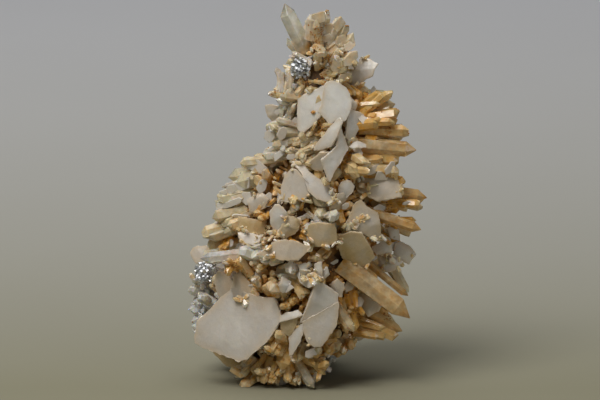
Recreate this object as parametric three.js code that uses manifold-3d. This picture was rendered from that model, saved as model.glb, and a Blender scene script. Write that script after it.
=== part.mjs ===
// Calcite plates on quartz: a tapering matrix specimen about 153 mm tall, in millimetres, +Z up
// +X is right as seen from the front, -Y is towards the viewer, and the origin is on the flat resting face

import * as THREE from 'three';
import { ConvexGeometry } from 'three/addons/geometries/ConvexGeometry.js';
import { mergeVertices } from 'three/addons/utils/BufferGeometryUtils.js';
import Module from 'manifold-3d';

const wasm = await Module();
wasm.setup();

// Driving dimensions
const frontSlope = THREE.MathUtils.degToRad(12); // the front view looks down by this much
const frontFoot = -16; // y of the front edge of the foot, where the front view has its height 0
const footCentre = { x: 2, y: 9 }; // middle of the flat resting face
const gap = 0.34; // clearance between pieces that touch
const plateSink = 2; // how far a plate's roots reach into the druse
const rootDepth = 4; // how deep a crystal's root starts in the rock
const rim = 0.9; // bevel width of a plate, as a share of its thickness
const sides = 6; // a quartz prism has six sides
const aroundCore = 16;
const coreRows = 11;

// The rock's cross sections from the foot to the top: height, centre and half widths
const sections = [
  { z: 0, x: 2, y: 9, halfX: 19, halfY: 20 },
  { z: 10, x: 1, y: 7, halfX: 24, halfY: 24 },
  { z: 22, x: 2, y: 5, halfX: 29, halfY: 26 },
  { z: 35, x: 3, y: 4, halfX: 31, halfY: 26 },
  { z: 50, x: 5, y: 3, halfX: 32, halfY: 25 },
  { z: 63, x: 8, y: 3, halfX: 29, halfY: 23 },
  { z: 77, x: 13, y: 3, halfX: 26, halfY: 20 },
  { z: 90, x: 17, y: 3, halfX: 19, halfY: 17 },
  { z: 100, x: 18, y: 3, halfX: 17, halfY: 15 },
  { z: 110, x: 17, y: 3, halfX: 15, halfY: 13 },
  { z: 120, x: 14, y: 3, halfX: 12, halfY: 11 },
  { z: 130, x: 13, y: 3, halfX: 9, halfY: 9 },
  { z: 137, x: 14, y: 3, halfX: 6.5, halfY: 6.5 },
  { z: 141, x: 15, y: 3, halfX: 3, halfY: 3 },
];

// A repeatable spread of values between 0 and 1
function scatter(seed) {
  const value = Math.sin(seed * 12.9898 + 4.1) * 43758.5453;
  return value - Math.floor(value);
}

function sectionAt(z) {
  const height = THREE.MathUtils.clamp(z, 0, sections.at(-1).z);
  const upper = Math.max(1, sections.findIndex((section) => section.z >= height));
  const low = sections[upper - 1];
  const high = sections[upper];
  const share = (height - low.z) / (high.z - low.z);
  const mix = (key) => THREE.MathUtils.lerp(low[key], high[key], share);
  return { x: mix('x'), y: mix('y'), halfX: mix('halfX'), halfY: mix('halfY') };
}

// How far the craggy rock swells at an angle and height
function swell(angle, z) {
  const column = (Math.floor((angle * aroundCore) / (2 * Math.PI) + 0.25) + aroundCore) % aroundCore;
  const row = Math.round((z * coreRows) / sections.at(-1).z);
  const broad = 0.05 * Math.sin(3 * angle + z * 0.11) + 0.04 * Math.sin(5 * angle - z * 0.17 + 1);
  return 0.97 + broad + 0.24 * (scatter(column * 7.3 + row * 3.1) - 0.5);
}

// A point given as it is seen from the front: right, up and how far back
function seen(right, up, back) {
  const z = (up - (back - frontFoot) * Math.sin(frontSlope)) / Math.cos(frontSlope);
  return new THREE.Vector3(right, back, z);
}

// The point on the rock that is seen at a place, moved out of it: side is 1 on its front and -1 on its back
function onRock(right, up, out, side = 1) {
  let back = 0;
  for (let pass = 0; pass < 6; pass += 1) {
    const section = sectionAt(seen(right, up, back).z);
    const across = THREE.MathUtils.clamp((right - section.x) / section.halfX, -1, 1);
    back = section.y - side * section.halfY * Math.sqrt(1 - across * across);
  }
  return seen(right, up, back - side * out);
}

function toSolid(geometry) {
  const bare = geometry.clone();
  bare.deleteAttribute('normal');
  bare.deleteAttribute('uv');
  const merged = mergeVertices(bare, 1e-4);
  const corners = merged.index.array;
  const kept = [];
  for (let first = 0; first < corners.length; first += 3) {
    const [a, b, c] = [corners[first], corners[first + 1], corners[first + 2]];
    if (a !== b && b !== c && c !== a) kept.push(a, b, c);
  }
  const vertProperties = new Float32Array(merged.attributes.position.array);
  return new wasm.Manifold(new wasm.Mesh({ numProp: 3, vertProperties, triVerts: new Uint32Array(kept) }));
}

function toGeometry(solid) {
  const mesh = solid.getMesh();
  const geometry = new THREE.BufferGeometry();
  geometry.setAttribute('position', new THREE.BufferAttribute(new Float32Array(mesh.vertProperties), 3));
  geometry.setIndex(new THREE.BufferAttribute(new Uint32Array(mesh.triVerts), 1));
  return geometry;
}

function join(solids) {
  return solids.reduce((whole, solid) => whole.add(solid));
}

// The largest body of a solid that cuts have parted
function mainBody(solid) {
  return solid.decompose().reduce((best, body) => (body.volume() > best.volume() ? body : best));
}

// One quartz crystal: a six-sided prism with a point, from its root to its tip
function quartzCrystal(root, tip, wide, seed, extra = 0) {
  const along = tip.clone().sub(root);
  const length = along.length() + extra * 3;
  const radius = wide / 2 + extra;
  const pointLength = Math.min(length * 0.45, radius * (1.25 + 0.5 * scatter(seed + 0.3)));
  const profile = [
    new THREE.Vector2(0, 0),
    new THREE.Vector2(radius, 0),
    new THREE.Vector2(radius * 0.92, length - pointLength),
    new THREE.Vector2(0, length),
  ];
  const geometry = new THREE.LatheGeometry(profile, sides);
  const place = geometry.attributes.position;
  const lean = (scatter(seed + 0.7) - 0.5) * radius * 0.7;
  for (let corner = 0; corner < place.count; corner += 1) {
    const past = (place.getY(corner) - (length - pointLength)) / pointLength;
    const shift = Math.max(0, past) * lean;
    place.setX(corner, place.getX(corner) * 1.1 + shift);
    place.setZ(corner, place.getZ(corner) * 0.92);
  }
  const direction = along.normalize();
  geometry.rotateY(scatter(seed + 0.1) * Math.PI);
  const upright = new THREE.Vector3(0, 1, 0);
  geometry.applyQuaternion(new THREE.Quaternion().setFromUnitVectors(upright, direction));
  const start = root.clone().addScaledVector(direction, -extra);
  geometry.translate(start.x, start.y, start.z);
  return toSolid(geometry);
}

// One calcite plate: a flat outline as seen from the front, with a blunt bevelled rim
function calcitePlate(plate, extra = 0) {
  const count = plate.outline.length;
  const middle = { right: 0, up: 0 };
  for (const [right, up] of plate.outline) {
    middle.right += right / count;
    middle.up += up / count;
  }
  const anchor = onRock(middle.right, middle.up, plate.out - plateSink, plate.side);
  const ring = plate.outline.map(([right, up]) => {
    const back = anchor.y + plate.leanRight * (right - middle.right) + plate.leanUp * (up - middle.up);
    return seen(right, up, back);
  });
  const centre = new THREE.Vector3();
  ring.forEach((corner) => centre.addScaledVector(corner, 1 / count));
  const normal = new THREE.Vector3();
  ring.forEach((corner, index) => {
    const arm = corner.clone().sub(centre);
    const next = ring[(index + 1) % count].clone().sub(centre);
    normal.add(arm.cross(next));
  });
  normal.normalize();
  const corners = [];
  for (const corner of ring) {
    const arm = corner.clone().sub(centre);
    const reach = arm.length();
    const edge = Math.max(reach * 0.5, reach - plate.thick * rim);
    arm.divideScalar(reach);
    corners.push(centre.clone().addScaledVector(arm, reach + extra * 1.4));
    for (const side of [-1, 1]) {
      const face = centre.clone().addScaledVector(arm, edge + extra * 1.4);
      corners.push(face.addScaledVector(normal, side * (plate.thick / 2 + extra)));
    }
  }
  return toSolid(new ConvexGeometry(corners));
}

// The rock that everything grows on, cut flat below
function rockCore() {
  const top = sections.at(-1).z;
  const geometry = new THREE.CylinderGeometry(1, 1, top, aroundCore, coreRows);
  geometry.rotateX(Math.PI / 2);
  geometry.translate(0, 0, top / 2);
  const place = geometry.attributes.position;
  for (let corner = 0; corner < place.count; corner += 1) {
    const z = place.getZ(corner);
    const section = sectionAt(z);
    const angle = Math.atan2(place.getY(corner), place.getX(corner));
    const bulge = swell(angle, z);
    place.setX(corner, section.x + place.getX(corner) * section.halfX * bulge);
    place.setY(corner, section.y + place.getY(corner) * section.halfY * bulge);
  }
  return toSolid(geometry);
}

// Quartz crystals of the front and the outline, fused to the rock: root and tip as seen, width and rise
const frontCrystals = [
  { root: [14, 137], tip: [16.5, 150.5], wide: 5.5, rise: 1 },
  { root: [16.5, 136], tip: [22, 148], wide: 5, rise: 2 },
  { root: [12.5, 137], tip: [9, 148.5], wide: 4.6, rise: 3 },
  { root: [17.5, 132], tip: [28, 141], wide: 5, rise: 2 },
  { root: [16, 127], tip: [28.5, 133.5], wide: 5, rise: 4 },
  { root: [15, 131], tip: [12, 146], wide: 4.4, rise: 5 },
  { root: [6, 132], tip: [-4, 127], wide: 3.2, rise: 3 },
  { root: [10, 121.5], tip: [23.5, 122.5], wide: 3, rise: 5, out: 1 },
  { root: [2, 123], tip: [-2, 108], wide: 3.6, rise: 3 },
  { root: [5, 124], tip: [1.5, 107], wide: 3.6, rise: 4 },
  { root: [3, 115], tip: [-6.5, 118], wide: 3, rise: 1 },
  { root: [28, 108], tip: [43, 118.5], wide: 3.8, rise: 2 },
  { root: [28, 107], tip: [45.5, 109.5], wide: 4.2, rise: 4 },
  { root: [27, 110], tip: [39, 118], wide: 3.6, rise: 1 },
  { root: [28, 103], tip: [49, 102.5], wide: 4.6, rise: 3 },
  { root: [29, 93], tip: [45, 90.5], wide: 3.8, rise: 4 },
  { root: [28, 88], tip: [45, 86.5], wide: 4, rise: 5 },
  { root: [29, 86], tip: [48, 82.5], wide: 3.8, rise: 2 },
  { root: [34, 75], tip: [53.5, 73.5], wide: 3.2, rise: 4 },
  { root: [33, 67], tip: [52.5, 67], wide: 3, rise: 2 },
  { root: [30, 33], tip: [47, 22], wide: 5, rise: 3 },
  { root: [28, 27], tip: [45, 20], wide: 4, rise: 5 },
  { root: [24, 34], tip: [43, 25], wide: 5.5, rise: 6 },
  { root: [8, 14], tip: [15.5, 5.5], wide: 4, rise: 5 },
  { root: [-5, 12], tip: [-9, 2], wide: 3.8, rise: 4 },
  { root: [0, 12], tip: [1, 2.5], wide: 3.4, rise: 5 },
  { root: [-12, 12], tip: [-18, 4], wide: 3.4, rise: 3 },
  { root: [-4, 82], tip: [-23, 84.5], wide: 5.5, rise: 3 },
  { root: [-6, 75], tip: [-27, 75.5], wide: 4.2, rise: 3 },
  { root: [4, 87], tip: [-18, 90], wide: 3.4, rise: 2 },
  { root: [5, 94], tip: [-9, 92.5], wide: 3, rise: 3 },
  { root: [5, 101.5], tip: [-8.5, 99.5], wide: 4, rise: 2 },
  { root: [5, 107], tip: [-7.5, 104], wide: 3.8, rise: 2 },
  { root: [-13, 62], tip: [-33, 61.5], wide: 4.4, rise: 2 },
  { root: [-10, 67.5], tip: [-29, 68], wide: 4.2, rise: 3 },
  { root: [-9, 71], tip: [-27.5, 73], wide: 3.8, rise: 1 },
  { root: [-22, 36], tip: [-38.5, 39.5], wide: 4, rise: 1 },
  { root: [-22, 31], tip: [-39, 34.5], wide: 3.6, rise: 2 },
  { root: [-22, 21], tip: [-36.5, 21], wide: 4, rise: 2 },
  { root: [15, 102], tip: [4.5, 91.5], wide: 3.4, rise: 5 },
  { root: [13, 105], tip: [6.5, 96], wide: 3.2, rise: 5 },
];

// Other crystals all over the rock, which also cover its sides and back
const coverCount = 46;
const goldenAngle = 2.399963; // turns each crystal away from the last ones

function coverCrystal(index) {
  const turn = index * goldenAngle;
  const z = 5 + 128 * ((index + 0.5) / coverCount) ** 1.12;
  const section = sectionAt(z);
  const bulge = swell(turn, z);
  const outward = new THREE.Vector3(Math.cos(turn), Math.sin(turn), 0);
  const root = new THREE.Vector3(section.x, section.y, z);
  root.x += outward.x * section.halfX * bulge * 0.8;
  root.y += outward.y * section.halfY * bulge * 0.8;
  const direction = outward.clone();
  direction.x += scatter(index + 11) - 0.5;
  direction.y += scatter(index + 12) - 0.5;
  direction.z += 1.1 * scatter(index + 13) - 0.35;
  direction.normalize();
  const stout = (1.1 + 0.8 * Math.max(0, outward.y)) * (0.55 + section.halfX / 60);
  const length = (7 + 6 * scatter(index + 14)) * stout;
  const wide = (4 + 3.6 * scatter(index + 15)) * stout;
  const tip = root.clone().addScaledVector(direction, length);
  tip.z = Math.max(tip.z, wide);
  return quartzCrystal(root, tip, wide, index);
}

function frontCrystal(crystal, index, extra = 0) {
  const root = onRock(crystal.root[0], crystal.root[1], (crystal.out ?? 0) - rootDepth);
  const tip = seen(crystal.tip[0], crystal.tip[1], root.y - crystal.rise);
  tip.z = Math.max(tip.z, 0.4);
  return quartzCrystal(root, tip, crystal.wide, index + 200, extra);
}

// Small galena cubes grown into one another around a middle place
function galenaCluster(cluster, extra = 0) {
  const centre = onRock(cluster.at[0], cluster.at[1], cluster.out);
  const cubes = [];
  for (let index = 0; index < cluster.count; index += 1) {
    const side = cluster.cube * (0.75 + 0.5 * scatter(index + cluster.seed)) + extra * 2;
    const cube = new THREE.BoxGeometry(side, side, side);
    cube.rotateX(scatter(index + cluster.seed + 20) * 1.5);
    cube.rotateZ(scatter(index + cluster.seed + 21) * 1.5);
    const across = (scatter(index + cluster.seed + 22) - 0.5) * cluster.size[0];
    const upward = ((index + 0.5) / cluster.count - 0.5) * cluster.size[1];
    cube.translate(centre.x + across, centre.y + (scatter(index + 23) - 0.5), centre.z + upward);
    cubes.push(toSolid(cube));
  }
  return join(cubes);
}

// The calcite crystals, front ones first: outlines as seen from the front, in millimetres right and up
const calciteCrystals = {
  calcite_round_plate_top: [
    {
      outline: [[16, 121], [17, 122], [21.5, 121.5], [26, 118], [27, 115], [25, 107], [20.5, 106.5],
        [14.5, 108.5], [12, 113.5]],
      out: 7, leanRight: 0.22, leanUp: 0.25, thick: 2.4,
    },
  ],
  calcite_blades_top: [
    {
      outline: [[21, 109], [21, 101.5], [13, 95], [11.5, 95], [15.5, 102]],
      out: 7.5, leanRight: -0.5, leanUp: 0.1, thick: 2.2,
    },
    {
      outline: [[21, 108.5], [25, 96], [17, 82.5], [15, 91], [18, 98]],
      out: 7.5, leanRight: 0.55, leanUp: 0.1, thick: 2.2,
    },
    {
      outline: [[8.5, 88.5], [11, 93], [17, 95], [18.5, 90], [14, 87.5]],
      out: 6, leanRight: -0.2, leanUp: -0.25, thick: 1.8,
    },
  ],
  calcite_plate_top_left: [
    {
      outline: [[5, 113.5], [6, 116.5], [9, 118.5], [16, 121], [18.5, 113], [14, 107],
        [7, 101.5], [5, 102.5]],
      out: 4, leanRight: -0.3, leanUp: 0.2, thick: 2.2,
    },
  ],
  calcite_blade_top_right: [
    {
      outline: [[26, 111.5], [31.5, 109], [30, 105], [27, 97], [24.5, 98.5], [24.5, 107]],
      out: 4.5, leanRight: 0.5, leanUp: 0.1, thick: 2,
    },
  ],
  calcite_small_plates_right: [
    {
      outline: [[25, 97], [32.5, 98.2], [32.5, 96], [27, 94]],
      out: 7, leanRight: 0.2, leanUp: 0.9, thick: 1.4,
    },
    {
      outline: [[27, 96], [31, 96], [29.5, 91.5], [28, 92]],
      out: 6.5, leanRight: 0.3, leanUp: 0, thick: 1.6,
    },
  ],
  calcite_small_plate_left: [
    {
      outline: [[-8, 113], [-2.5, 113], [-1, 109], [-3.5, 105.5], [-6.5, 107]],
      out: -3, leanRight: -0.5, leanUp: 0.1, thick: 1.6,
    },
  ],
  calcite_plate_summit_right: [
    {
      outline: [[28.5, 129], [33.5, 131], [37, 129.5], [33.5, 124.5], [24, 119.5], [22, 124]],
      out: -1, leanRight: 0.25, leanUp: 0.1, thick: 2,
    },
  ],
  calcite_plate_right_upper: [
    {
      outline: [[26.5, 83.5], [33.5, 87], [38, 88], [40, 85], [44.5, 84], [46, 79], [45, 76],
        [38.5, 74.5], [30, 75]],
      out: 5, leanRight: 0.3, leanUp: 0.1, thick: 2.6,
    },
  ],
  calcite_plate_right_middle: [
    {
      outline: [[23, 64.5], [25, 67.5], [27.5, 73.5], [30.5, 75], [35, 71], [37.5, 66.5], [39, 59.5],
        [37, 59], [30.5, 62]],
      out: 7, leanRight: 0.3, leanUp: 0.25, thick: 2.4,
    },
    {
      outline: [[25, 63.5], [29.5, 63], [34.5, 56.5], [36.5, 53], [31, 49], [26.5, 49.5], [23, 56.5]],
      out: 5.5, leanRight: 0.15, leanUp: -0.05, thick: 2.4,
    },
  ],
  calcite_plate_right_inner: [
    {
      outline: [[35, 56.5], [41.5, 60.5], [43, 53], [36.5, 53]],
      out: 4.5, leanRight: 0.4, leanUp: 0.1, thick: 1.8,
    },
  ],
  calcite_plates_right_edge: [
    {
      outline: [[37, 52], [43, 54.5], [47.5, 50.5], [41, 46], [37.5, 48]],
      out: 2.5, leanRight: 0.35, leanUp: 0.4, thick: 1.8,
    },
    {
      outline: [[44, 58.5], [48, 58], [52, 54.5], [49.5, 49], [43, 51]],
      out: -1, leanRight: 0.5, leanUp: 0, thick: 1.8,
    },
  ],
  calcite_chip_right: [
    {
      outline: [[41, 64.5], [46, 63], [46, 58], [42, 60]],
      out: 1, leanRight: 0.3, leanUp: 0, thick: 1.6,
    },
  ],
  calcite_fan_centre: [
    {
      outline: [[1, 87], [3, 88.5], [9, 81], [9.5, 77.5], [7, 75], [0, 74.5], [-2.5, 76], [-1.5, 81.5]],
      out: 5.5, leanRight: -0.25, leanUp: 0.15, thick: 2.4,
    },
    {
      outline: [[3.5, 91], [6, 91], [18.5, 79], [20.5, 77], [19, 74.5], [12, 75], [8.5, 78]],
      out: 5, leanRight: 0.2, leanUp: 0.25, thick: 2.4,
    },
  ],
  calcite_knob_centre_right: [
    {
      outline: [[21, 81], [23, 83], [25, 83], [27, 81], [27, 78], [24, 76], [21.5, 77.5]],
      out: 5, leanRight: 0.1, leanUp: 0.1, thick: 2,
    },
    {
      outline: [[21, 77.5], [26, 78], [22.5, 70], [18, 70]],
      out: 4, leanRight: 0.3, leanUp: -0.2, thick: 1.8,
    },
  ],
  calcite_round_plate_centre: [
    {
      outline: [[9, 65], [11, 66.5], [17, 66.5], [20, 65], [21, 59], [16.5, 57], [13, 57], [9.5, 58]],
      out: 6, leanRight: 0, leanUp: 0.3, thick: 2.6,
    },
  ],
  calcite_prism_centre: [
    {
      outline: [[-6, 71], [-4, 73.5], [-2, 73.5], [1, 70], [0.5, 66.5],
        [-1, 63.5], [-3.5, 61], [-7, 65]],
      out: 5.5, leanRight: -0.1, leanUp: 0.1, thick: 4,
    },
    {
      outline: [[0, 68.5], [6.5, 69], [6, 64], [2, 60], [-1.5, 62]],
      out: 3.5, leanRight: 0.3, leanUp: 0.1, thick: 1.8,
    },
  ],
  calcite_plate_left_low: [
    {
      outline: [[-19, 62.5], [-9, 60.5], [-11, 57], [-17, 58]],
      out: 5, leanRight: -0.1, leanUp: 0.5, thick: 2,
    },
  ],
  calcite_plate_left_middle: [
    {
      outline: [[-19.5, 68.5], [-7.5, 67], [-8.5, 61], [-18, 62]],
      out: 3, leanRight: -0.2, leanUp: 0.5, thick: 1.8,
    },
  ],
  calcite_hexagon_left: [
    {
      outline: [[-15, 75.5], [-11, 78], [-6.5, 76], [-7, 72.5], [-11, 70], [-13.5, 70]],
      out: 4, leanRight: -0.3, leanUp: 0.2, thick: 2.2,
    },
  ],
  calcite_wide_plate_middle: [
    {
      outline: [[-11, 53.5], [-4, 59], [0.5, 59.5], [10, 57], [8, 53.5],
        [5, 51.5], [0.5, 51], [-8.5, 52.5]],
      out: 6.5, leanRight: -0.1, leanUp: 0.8, thick: 2.2,
    },
  ],
  calcite_white_cluster: [
    {
      outline: [[4.5, 45.5], [6, 48.5], [11, 45], [15, 45], [12.5, 41.5], [8, 40.5]],
      out: 5, leanRight: 0, leanUp: 0.4, thick: 2.2,
    },
    {
      outline: [[5.5, 49.5], [8.5, 50.5], [9.5, 44], [7, 43]],
      out: 4.5, leanRight: 0.5, leanUp: 0, thick: 1.6,
    },
    {
      outline: [[11.5, 50], [15, 51], [15, 44], [12.5, 43]],
      out: 4.5, leanRight: -0.4, leanUp: 0, thick: 1.6,
    },
    {
      outline: [[13, 46], [17, 48.5], [18, 45.5], [14, 42.5]],
      out: 4, leanRight: 0.3, leanUp: 0.1, thick: 1.6,
    },
  ],
  calcite_white_rosette: [
    {
      outline: [[-2.5, 41], [-1, 45], [3, 43], [2.5, 39.5], [-1, 38]],
      out: 4.5, leanRight: 0.2, leanUp: 0.1, thick: 2,
    },
    {
      outline: [[-3, 42.5], [0, 44], [3.5, 40.5], [0, 38.5]],
      out: 4, leanRight: -0.6, leanUp: 0.2, thick: 1.5,
    },
  ],
  calcite_pink_chip: [
    {
      outline: [[19, 41], [21, 44], [23.5, 42.5], [23, 37], [20, 36]],
      out: 4, leanRight: 0.3, leanUp: 0, thick: 1.8,
    },
  ],
  calcite_big_plate: [
    {
      outline: [[-35, 26.5], [-31, 30.5], [-25, 37.5], [-21, 40.5], [-15.5, 39], [-4, 36.5], [-1.5, 30.5],
        [-2.5, 26.5], [-8, 17.5], [-17, 11], [-33, 16], [-35.5, 19.5]],
      out: 6.5, leanRight: -0.35, leanUp: 0.12, thick: 3.4,
    },
    {
      outline: [[-21.5, 46], [-18, 47], [-14, 43.5], [-14, 35], [-21, 36]],
      out: 3.5, leanRight: -0.2, leanUp: 0.2, thick: 2.2,
    },
    {
      outline: [[-28.5, 43.5], [-26, 47], [-23, 46], [-20, 41], [-19, 34], [-25, 32]],
      out: 5, leanRight: -0.3, leanUp: 0.1, thick: 2.8,
    },
  ],
  calcite_tan_plate_under: [
    {
      outline: [[-32.5, 16.5], [-18, 14], [-15, 9], [-19, 7.5], [-24, 7.5]],
      out: 3, leanRight: -0.4, leanUp: -0.2, thick: 1.8,
    },
  ],
  calcite_folded_plate: [
    {
      outline: [[12.5, 42.5], [15, 42.5], [19, 40.5], [21, 37.5], [22, 29], [21, 26.5], [16, 18.5],
        [13, 16.5], [8, 19], [7, 25], [9.5, 36.5]],
      out: 6, leanRight: 0.25, leanUp: 0.15, thick: 2.8,
    },
    {
      outline: [[1.5, 15.5], [1.5, 22], [7, 26], [12, 29], [9, 20]],
      out: 6, leanRight: -0.5, leanUp: 0.1, thick: 1.8,
    },
  ],
  calcite_strip_centre: [
    {
      outline: [[-2, 26.5], [-1.5, 30], [5, 31.5], [7, 29], [3, 26.5]],
      out: 5, leanRight: -0.1, leanUp: 0.5, thick: 1.8,
    },
    {
      outline: [[-2, 28.5], [5, 29.5], [4.5, 23], [1.5, 20.5], [-1.5, 23]],
      out: 4.3, leanRight: 0, leanUp: -0.1, thick: 1.8,
    },
  ],
  calcite_plate_right_low: [
    {
      outline: [[28.5, 37], [30.5, 38.5], [36, 36], [39.5, 34], [34, 29], [32.5, 28]],
      out: 4, leanRight: 0.35, leanUp: 0.1, thick: 2,
    },
  ],
  calcite_plate_right_foot: [
    {
      outline: [[27.5, 22.5], [32.5, 29], [36.5, 28], [35.5, 21], [29, 18.5]],
      out: 2.5, leanRight: 0.4, leanUp: -0.1, thick: 2.2,
    },
  ],
  calcite_plate_back_upper: [
    {
      outline: [[8, 104], [13, 110], [21, 109], [25, 101], [20, 94], [11, 95]],
      side: -1, out: 4, leanRight: 0.2, leanUp: -0.3, thick: 2.4,
    },
  ],
  calcite_plate_back_middle: [
    {
      outline: [[14, 66], [22, 73], [31, 69], [33, 60], [24, 52], [15, 56]],
      side: -1, out: 4, leanRight: -0.3, leanUp: -0.2, thick: 2.6,
    },
  ],
  calcite_plate_back_low: [
    {
      outline: [[-21, 42], [-13, 49], [-4, 47], [-2, 38], [-8, 31], [-18, 33]],
      side: -1, out: 4.5, leanRight: 0.25, leanUp: -0.25, thick: 2.8,
    },
  ],
  calcite_block_left_edge: [
    {
      outline: [[-38, 53.5], [-37, 56], [-32, 57], [-28, 53], [-30, 50], [-35.5, 49.5]],
      out: 1.5, leanRight: -0.4, leanUp: 0.3, thick: 3,
    },
  ],
};

// Large quartz crystals that stand free of the druse
const quartzPoints = {
  quartz_point_top: { root: [8.5, 134], tip: [-1, 153], wide: 7, rise: 1 },
  quartz_point_top_small: { root: [7, 132.5], tip: [0.3, 139.2], wide: 3.8, rise: 2 },
  quartz_point_right_upper: { root: [26, 97.5], tip: [52.5, 95], wide: 6.4, rise: 3 },
  quartz_point_right_middle: { root: [34, 79.5], tip: [57, 76.5], wide: 5.4, rise: 0 },
  quartz_needle_right: { root: [29, 72], tip: [54.5, 63.3], wide: 4.4, rise: 5 },
  quartz_point_right_large: { root: [22, 50], tip: [50.5, 28.5], wide: 8.4, rise: 4 },
  quartz_point_right_clear: { root: [33, 50], tip: [49.5, 36.5], wide: 3.6, rise: 1 },
  quartz_point_low_olive: { root: [17, 38], tip: [27.5, 22.5], wide: 4.6, rise: 7 },
  quartz_point_foot: { root: [3, 14], tip: [11.5, -1.8], wide: 4, rise: 5 },
  quartz_point_left_end: { root: [-12, 54], tip: [-34, 51.5], wide: 5, rise: 1 },
};

const galenaClusters = {
  galena_upper: { at: [5, 128], out: 1, size: [4, 7], cube: 3.8, count: 4, seed: 40 },
  galena_left: { at: [-33, 46.5], out: 3, size: [5, 6], cube: 4, count: 4, seed: 70 },
};

const finishes = {
  calcite: { color: '#e6ddd4', roughness: 0.42, metalness: 0 },
  quartz: { color: '#d2bf92', roughness: 0.2, metalness: 0 },
  druse: { color: '#b29a6a', roughness: 0.5, metalness: 0 },
  galena: { color: '#8d9299', roughness: 0.3, metalness: 0.9 },
};

// Pieces keep clear of all the ones placed before them
const specimen = new THREE.Group();
specimen.position.set(-footCentre.x, -footCentre.y, 0);
const placed = [];

function addPiece(name, solid, roomAround, finish) {
  const cut = placed.reduce((rest, room) => rest.subtract(room), solid);
  const mesh = new THREE.Mesh(toGeometry(mainBody(cut)), new THREE.MeshStandardMaterial(finishes[finish]));
  mesh.name = name;
  specimen.add(mesh);
  if (roomAround) placed.push(roomAround);
}

for (const [name, plates] of Object.entries(calciteCrystals)) {
  const solid = join(plates.map((plate) => calcitePlate(plate)));
  addPiece(name, solid, join(plates.map((plate) => calcitePlate(plate, gap))), 'calcite');
}
Object.entries(quartzPoints).forEach(([name, point], index) => {
  addPiece(name, frontCrystal(point, index + 100), frontCrystal(point, index + 100, gap), 'quartz');
});
for (const [name, cluster] of Object.entries(galenaClusters)) {
  addPiece(name, galenaCluster(cluster), galenaCluster(cluster, gap), 'galena');
}

function druseOnRock() {
  const crystals = frontCrystals.map((crystal, index) => frontCrystal(crystal, index));
  for (let index = 0; index < coverCount; index += 1) crystals.push(coverCrystal(index));
  const below = new THREE.BoxGeometry(200, 200, 40);
  below.translate(0, 0, -20);
  return join([rockCore(), ...crystals]).subtract(toSolid(below));
}

addPiece('quartz_druse_on_rock', druseOnRock(), null, 'druse');

export default specimen;
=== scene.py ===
import math

import bpy
import numpy as np
from mathutils import Matrix, Vector, noise
from mathutils.bvhtree import BVHTree


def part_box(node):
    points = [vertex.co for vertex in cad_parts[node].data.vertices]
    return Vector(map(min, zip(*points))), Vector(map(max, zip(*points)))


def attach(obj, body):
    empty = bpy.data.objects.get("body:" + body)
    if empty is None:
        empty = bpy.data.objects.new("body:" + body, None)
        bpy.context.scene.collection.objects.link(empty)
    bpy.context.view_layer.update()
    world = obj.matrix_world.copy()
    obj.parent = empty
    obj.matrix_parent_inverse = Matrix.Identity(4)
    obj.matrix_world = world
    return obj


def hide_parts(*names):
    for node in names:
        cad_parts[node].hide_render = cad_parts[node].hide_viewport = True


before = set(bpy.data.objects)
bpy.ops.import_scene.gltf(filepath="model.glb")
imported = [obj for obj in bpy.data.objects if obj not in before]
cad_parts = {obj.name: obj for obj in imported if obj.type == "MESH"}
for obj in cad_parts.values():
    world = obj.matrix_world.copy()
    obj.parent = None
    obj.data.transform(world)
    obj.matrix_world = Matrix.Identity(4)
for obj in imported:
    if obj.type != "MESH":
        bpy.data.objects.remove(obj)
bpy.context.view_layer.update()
mm = 0.001
dice = np.random.RandomState(7)

# The front view as the part has it, looked down on. Its steps count right and down from its top left corner
view = {
    "slope": math.radians(12),
    "step": 0.4,                    # mm
    "foot": (285, 388),             # the step that shows the foot's front edge
    "frontFoot": -16.0,             # how far back that edge is, mm
    "footCentre": (2.0, 9.0),       # mm
    "middle": (300, 200),           # the step that the camera aims at
    "distance": 2.0,                # m
    "lens": 300,                    # mm
    "castFrom": 0.2,                # where lines cast into the piece start, m before it
}
toViewer = Vector((0, -math.cos(view["slope"]), math.sin(view["slope"])))

# The rock's cross sections: height, centre and half widths, in mm
sections = np.array([
    (0, 2, 9, 19, 20), (10, 1, 7, 24, 24), (22, 2, 5, 29, 26), (35, 3, 4, 31, 26), (50, 5, 3, 32, 25),
    (63, 8, 3, 29, 23), (77, 13, 3, 26, 20), (90, 17, 3, 19, 17), (100, 18, 3, 17, 15), (110, 17, 3, 15, 13),
    (120, 14, 3, 12, 11), (130, 13, 3, 9, 9), (137, 14, 3, 6.5, 6.5), (141, 15, 3, 3, 3),
], float)


def sectionAt(z):
    return [float(np.interp(z, sections[:, 0], sections[:, column])) for column in (1, 2, 3, 4)]


def seen(right, down, back):          # the point that the view shows there, in mm of the rock's own frame
    across = (right - view["foot"][0]) * view["step"]
    up = (view["foot"][1] - down) * view["step"]
    z = (up - (back - view["frontFoot"]) * math.sin(view["slope"])) / math.cos(view["slope"])
    return Vector((across, back, z))


def onRock(right, down, out, side=1):          # the rock's surface where the view shows it, or behind it, moved out
    back = 0.0
    for _ in range(6):
        spot = seen(right, down, back)
        x, y, halfX, halfY = sectionAt(spot.z)
        across = max(-1.0, min(1.0, (spot.x - x) / halfX))
        back = y - side * halfY * math.sqrt(1 - across * across)
    return seen(right, down, back - side * out)


def toFrame(points):          # from mm about the rock to metres about the foot's centre
    shift = np.array([view["footCentre"][0], view["footCentre"][1], 0.0])
    return (np.asarray(points, float) - shift) * mm


def fromFrame(points):          # and back
    shift = np.array([view["footCentre"][0], view["footCentre"][1], 0.0])
    return np.asarray(points, float) / mm + shift


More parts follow.
